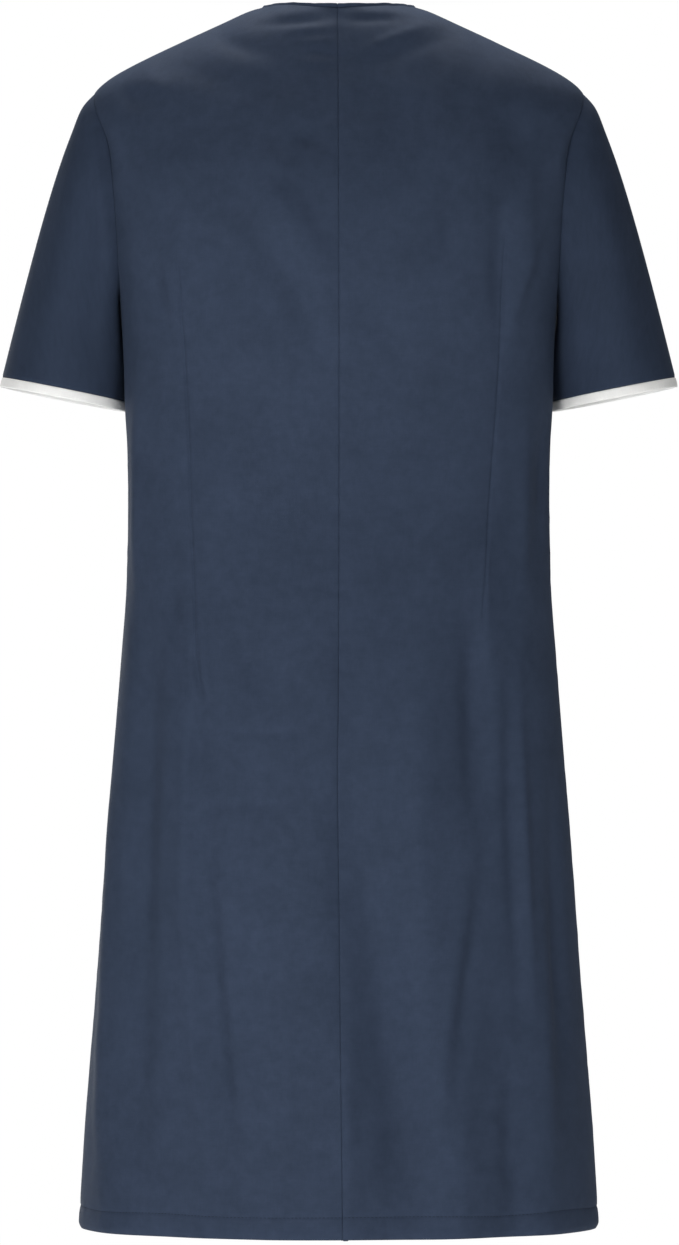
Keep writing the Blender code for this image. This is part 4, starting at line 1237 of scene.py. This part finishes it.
def sleeve_piece(side):
    angles = ROUND
    at, out = sleeve_start(side, angles)
    start = at + out * 0.00005
    end = cuff_loop(side, angles)
    top = 0.5 * (1.0 + np.cos(angles))[:, None]
    lead = out * (0.024 + 0.086 * top)
    axis = np.array([side * CUFF_TILT, 0.0, -1.0])
    axis /= np.linalg.norm(axis)
    outward = np.cos(angles)[:, None] * np.array([side * 1.0, 0.0, 0.0])
    tail = (axis + 0.045 * outward) * (0.075 + 0.185 * top)
    down = spaced(0.0, 1.0, SLEEVE_ROWS, focus=[(0.0, 0.035, 3.0), (1.0, 0.045, 2.0)])
    t = down[:, None, None]
    p = ((1 + 2 * t) * (1 - t) ** 2 * start + t * (1 - t) ** 2 * lead
         + t * t * (3 - 2 * t) * end + t * t * (t - 1) * tail)
    normal = grid_normals(p, wrap=True)
    centre = p.mean(axis=1, keepdims=True)
    if np.mean(np.sum(normal[60] * (p[60] - centre[60]), axis=1)) < 0:
        normal = -normal
    run = along_columns(p)
    left = run[-1:] - run
    degrees = np.degrees(angles)[None, :] * np.ones((len(down), 1))
    height = np.zeros(p.shape[:2])
    for f in SLEEVE_FOLDS:
        if f.side != side:
            continue
        along = np.clip((down - f.down_top) / (f.down_foot - f.down_top), 0.0, 1.0)[:, None]
        middle = f.angle_top + (f.angle_foot - f.angle_top) * along
        d = (degrees - middle + 180.0) % 360.0 - 180.0
        fade = (smooth_step((down - f.down_top + 0.12) / 0.24)
                * smooth_step((f.down_foot + 0.12 - down) / 0.24))[:, None]
        height += f.height * fade * np.exp(-(d / f.width) ** 2)
    # armhole seam: the sleeve comes out from under the panel's edge
    behind = np.exp(-((degrees - 78.0) / 42.0) ** 2)
    height += behind * 0.0019 * np.exp(-((run - 0.010) / 0.009) ** 2)
    # the underarm lies close along the side
    height += 0.0009 * np.exp(-((degrees - 178.0) / 34.0) ** 2) * smooth_step(run / 0.012) \
        * smooth_step((0.100 - run) / 0.040)
    girth = np.cumsum(np.linalg.norm(np.diff(p[8], axis=0, append=p[8][:1]), axis=1))
    around = np.broadcast_to(girth[None, :], run.shape)
    height += puckers(around, run, 81 + side, 0.014, 0.00042, 0.012)
    # underarm seam
    underarm = np.abs((degrees - 180.0)) / 180.0 * 0.5 * girth[-1]
    height += groove(underarm, 0.00070, 0.0013)
    # seam to the band
    height += groove(left, 0.00055, 0.0012)
    height += puckers(around, left, 91 + side, 0.013, 0.00022, 0.008)
    # fuller over the head of the sleeve
    height += 0.0013 * np.exp(-(((degrees + 180.0) % 360.0 - 180.0) / 55.0) ** 2) \
        * np.exp(-((run - 0.016) / 0.014) ** 2)
    p = p + normal * height[..., None]
    p = p + edge_shift(side)[None, :, :] * np.exp(-(run / 0.009) ** 2)[..., None]
    index = np.arange(p.shape[0] * p.shape[1]).reshape(p.shape[:2])
    quads = grid_faces(index, False, wrap=True)
    verts = p.reshape(-1, 3)
    n = vertex_normals(verts, quads)
    if np.sum(n.reshape(p.shape)[60] * (p[60] - centre[60])) < 0:
        quads = quads[:, ::-1]
    uv = np.stack([around, run], axis=-1).reshape(-1, 2)
    name = "sleeve_left_cloth" if side > 0 else "sleeve_right_cloth"
    return closed_shell(name, verts, quads, CLOTH, uv, NAVY_SLEEVE_PAINTED_SHADE), p, normal, run


def band_piece(side):
    """Folded contrast band: flat faces, soft folded lower edge, drawn in a little at its seam."""
    angles = ROUND
    axis = np.array([side * CUFF_TILT, 0.0, -1.0])
    axis /= np.linalg.norm(axis)
    outward = np.cos(angles)[:, None] * np.array([side * 1.0, 0.0, 0.0])
    loop = cuff_loop(side, angles, grow=0.0003)
    ahead = np.roll(loop, -1, axis=0) - np.roll(loop, 1, axis=0)
    out = np.cross(ahead, np.broadcast_to(axis, ahead.shape))
    out /= np.linalg.norm(out, axis=1, keepdims=True)
    centre = loop.mean(axis=0)
    if np.mean(np.sum(out * (loop - centre), axis=1)) < 0:
        out = -out
    girth = np.cumsum(np.linalg.norm(np.diff(loop, axis=0, append=loop[:1]), axis=1))
    wall = 0.0019
    # profile: drop along the band, depth in from its face
    drops = np.array([0.00030, 0.00045, 0.0009, 0.0022, 0.0042, 0.0060, 0.0074, 0.0081,
                      0.00850, 0.00850, 0.0081, 0.0074, 0.0050, 0.0024, 0.00045, 0.00030])
    depths = np.array([0.00070, 0.00030, 0.00008, 0.0, 0.0, 0.00004, 0.00012, 0.00034,
                       0.00075, 0.00115, 0.00156, 0.00178, 0.0019, 0.0019, 0.0019, 0.0015])
    rows = []
    rng = np.random.default_rng(7 + side)
    wavy = sum(rng.uniform(0.3, 1.0) * np.sin(girth * 2 * math.pi / girth[-1] * k
                                               + rng.uniform(0, 6.28)) for k in (5, 8, 13, 21))
    for drop, depth in zip(drops, depths):
        swell = 0.00010 * wavy[:, None] * math.sin(math.pi * min(1.0, drop / 0.0085))
        rows.append(loop + (axis + 0.045 * outward) * drop - out * depth + out * swell)
    p = np.array(rows)
    index = np.arange(p.shape[0] * p.shape[1]).reshape(p.shape[:2])
    index = np.concatenate([index, index[:1]], axis=0)
    quads = grid_faces(index, False, wrap=True)
    verts = p.reshape(-1, 3)
    n = vertex_normals(verts, quads).reshape(p.shape)
    if np.mean(np.sum(n[3] * out, axis=1)) < 0:
        quads = quads[:, ::-1]
    run = np.concatenate([[0.0], np.cumsum(np.hypot(np.diff(drops), np.diff(depths)))])
    uv = np.stack(np.broadcast_arrays(girth[None, :], run[:, None]), axis=-1).reshape(-1, 2)
    name = "cuff_band_left_cloth" if side > 0 else "cuff_band_right_cloth"
    return mesh_object(name, verts, quads, uv, WHITE), p, out


# ================================================================ stitches
def level_line(points, normals, rise, line):
    """The line across a panel's columns at which rise equals line."""
    spots, ups = [], []
    for c in range(points.shape[1]):
        r = rise[:, c]
        target = float(np.interp(0.0, (r - line[:, c])[:80], r[:80]))
        k = np.searchsorted(r, target) - 1
        t = (target - r[k]) / (r[k + 1] - r[k])
        spots.append(points[k, c] * (1 - t) + points[k + 1, c] * t)
        ups.append(normals[k, c])
    return np.array(spots), np.array(ups)


pieces = []
back = {}
for side in (+1, -1):
    back[side] = back_panel(side)
front_ob, front_left, front_right = front_panel()
front_halves = {+1: front_left, -1: front_right}
sleeve = {side: sleeve_piece(side) for side in (+1, -1)}
band = {side: band_piece(side) for side in (+1, -1)}

stitches = []
for side in (+1, -1):
    ob, p, n, rise, line, neck = back[side]
    spots, ups = level_line(p, n, rise, line)
    stitches.append(thread_run("hem_stitches_back_" + ("left" if side > 0 else "right"),
                               spots, ups, 0.0026, 0.0033, 0.00024, THREAD_WITH_PAINTED_SHADE, 3 + side))
    half = front_left if side > 0 else front_right
    spots, ups = level_line(half[0], half[1], half[2], half[3])
    stitches.append(thread_run("hem_stitches_front_" + ("left" if side > 0 else "right"),
                               spots, ups, 0.0026, 0.0033, 0.00024, THREAD_WITH_PAINTED_SHADE, 8 + side))
    # along the V edge, 6 mm in
    p, n, arc, joined = half[0], half[1], half[6], half[7]
    spots, ups = [], []
    for r in range(joined, p.shape[0]):
        k = np.searchsorted(arc[r], 0.0062) - 1
        t = (0.0062 - arc[r, k]) / (arc[r, k + 1] - arc[r, k])
        spots.append(p[r, k] * (1 - t) + p[r, k + 1] * t)
        ups.append(n[r, k])
    stitches.append(thread_run("neck_stitches_front_" + ("left" if side > 0 else "right"),
                               np.array(spots), np.array(ups), 0.0022, 0.0028, 0.00020, THREAD_WITH_PAINTED_SHADE, 13 + side))

# ================================================================ attached to the frame, in place of the imported parts
# the frame's rules
for side, word in ((+1, "left"), (-1, "right")):
    ob = back[side][0]
    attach(ob, "root")
    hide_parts("back_" + word)
    ob = sleeve[side][0]
    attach(ob, "root")
    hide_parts("sleeve_" + word)
    ob = band[side][0]
    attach(ob, "root")
    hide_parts("cuff_band_" + word)
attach(front_ob, "root")
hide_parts("front")
for ob in stitches:
    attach(ob, "root")

# ================================================================ camera, light, floor
PIXEL = 0.00085            # metres to a pixel in the plane y = 0, frame 679 x 1245
AWAY = 7.0
VIEW_Z = -0.52445
scene = bpy.context.scene
camera = bpy.data.cameras.new("camera")
camera.sensor_fit = "VERTICAL"
camera.sensor_height = 24.0
camera.lens = 24.0 * AWAY / (1245 * PIXEL)
camera.shift_x = 0.75 / 1245
camera.clip_end = 60.0
eye = bpy.data.objects.new("camera", camera)
eye.location = (0.0, AWAY, VIEW_Z)
eye.rotation_euler = (math.pi / 2.0, 0.0, math.pi)
scene.collection.objects.link(eye)
scene.camera = eye


def softbox(name, place, aim, size, power, colour=(1.0, 1.0, 1.0)):
    light = bpy.data.lights.new(name, "AREA")
    light.shape = "RECTANGLE"
    light.size, light.size_y = size
    light.energy = power
    light.color = colour
    ob = bpy.data.objects.new(name, light)
    ob.location = place
    ob.rotation_euler = (Vector(aim) - Vector(place)).to_track_quat("-Z", "Y").to_euler()
    ob.visible_camera = False
    scene.collection.objects.link(ob)
    return ob


softbox("key_left", (2.1, 1.15, -0.90), (0.0, 0.10, -0.72), (0.6, 0.5), 8.0)
softbox("key_right", (-0.85, 2.3, -0.85), (0.0, 0.10, -0.75), (0.6, 0.5), 16.0)
softbox("front_on", (0.80, 2.2, -0.85), (0.0, 0.10, -0.75), (0.6, 0.5), 23.5)
softbox("overhead", (0.06, -0.42, 1.20), (0.04, 0.0, -0.02), (0.9, 0.45), 34.0)
softbox("rim_left", (1.4, -2.0, -0.55), (0.1, 0.0, -0.55), (0.7, 1.1), 11.0)
softbox("fill_front", (0.9, -3.0, -0.3), (0.0, 0.0, -0.5), (1.2, 1.6), 16.0)

world = bpy.data.worlds.new("studio")
scene.world = world
world.use_nodes = True
world.node_tree.nodes["Background"].inputs["Color"].default_value = (1.0, 1.0, 1.0, 1.0)
world.node_tree.nodes["Background"].inputs["Strength"].default_value = 0.16
scene.view_settings.view_transform = "Standard"
scene.view_settings.look = "None"


def plain_material(name, colour, glow):
    material = bpy.data.materials.new(name)
    material.use_nodes = True
    shader, add, link = node_tools(material)
    shader.inputs["Base Color"].default_value = (*colour, 1.0)
    shader.inputs["Roughness"].default_value = 0.9
    shader.inputs["Specular IOR Level"].default_value = 0.1
    shader.inputs["Emission Color"].default_value = (1.0, 1.0, 1.0, 1.0)
    shader.inputs["Emission Strength"].default_value = glow
    return material


# round pale floor under the dress, with painted light: it glows a little near the middle and fully at its
# rim, where it fades into the white backdrop
FLOOR_Z = -1.30
turns = np.linspace(0.0, 2 * math.pi, 64, endpoint=False)
rings = np.array([[(r * math.cos(t), r * math.sin(t), FLOOR_Z) for t in turns]
                  for r in (0.0005, 1.0, 2.0, 3.1)])
idx = np.arange(4 * 64).reshape(4, 64)
floor = mesh_object("floor", rings.reshape(-1, 3), grid_faces(idx, True, wrap=True), None,
                    plain_material("pale_floor_painted_glow", (0.86, 0.86, 0.86), 0.30))
floor_shader, add, link = node_tools(floor.data.materials[0])
# painted glow: emission strength grows from 0.30 near the middle to 1.0 at the rim
from_middle = add("ShaderNodeTexCoord")
how_far = add("ShaderNodeVectorMath", operation="LENGTH")
link(from_middle.outputs["Object"], how_far.inputs[0])
painted_glow_outward = add("ShaderNodeMapRange")
painted_glow_outward.interpolation_type = "SMOOTHSTEP"
painted_glow_outward.inputs["From Min"].default_value = 1.5
painted_glow_outward.inputs["From Max"].default_value = 3.3
painted_glow_outward.inputs["To Min"].default_value = 0.30
painted_glow_outward.inputs["To Max"].default_value = 1.0
link(how_far.outputs["Value"], painted_glow_outward.inputs["Value"])
link(painted_glow_outward.outputs["Result"], floor_shader.inputs["Emission Strength"])
# white cloth tent far round it all, seen but adding no light of its own
rise = np.linspace(-0.5 * math.pi + 0.02, 0.5 * math.pi - 0.02, 32)
tent_rings = np.array([[(16 * math.cos(e) * math.cos(t), 16 * math.cos(e) * math.sin(t),
                         16 * math.sin(e)) for t in turns] for e in rise])
idx = np.arange(32 * 64).reshape(32, 64)
tent = mesh_object("backdrop", tent_rings.reshape(-1, 3), grid_faces(idx, True, wrap=True), None,
                   plain_material("backdrop_white", (0.0, 0.0, 0.0), 1.0))
for ray in ("visible_diffuse", "visible_glossy", "visible_shadow", "visible_transmission",
            "visible_volume_scatter"):
    setattr(tent, ray, False)
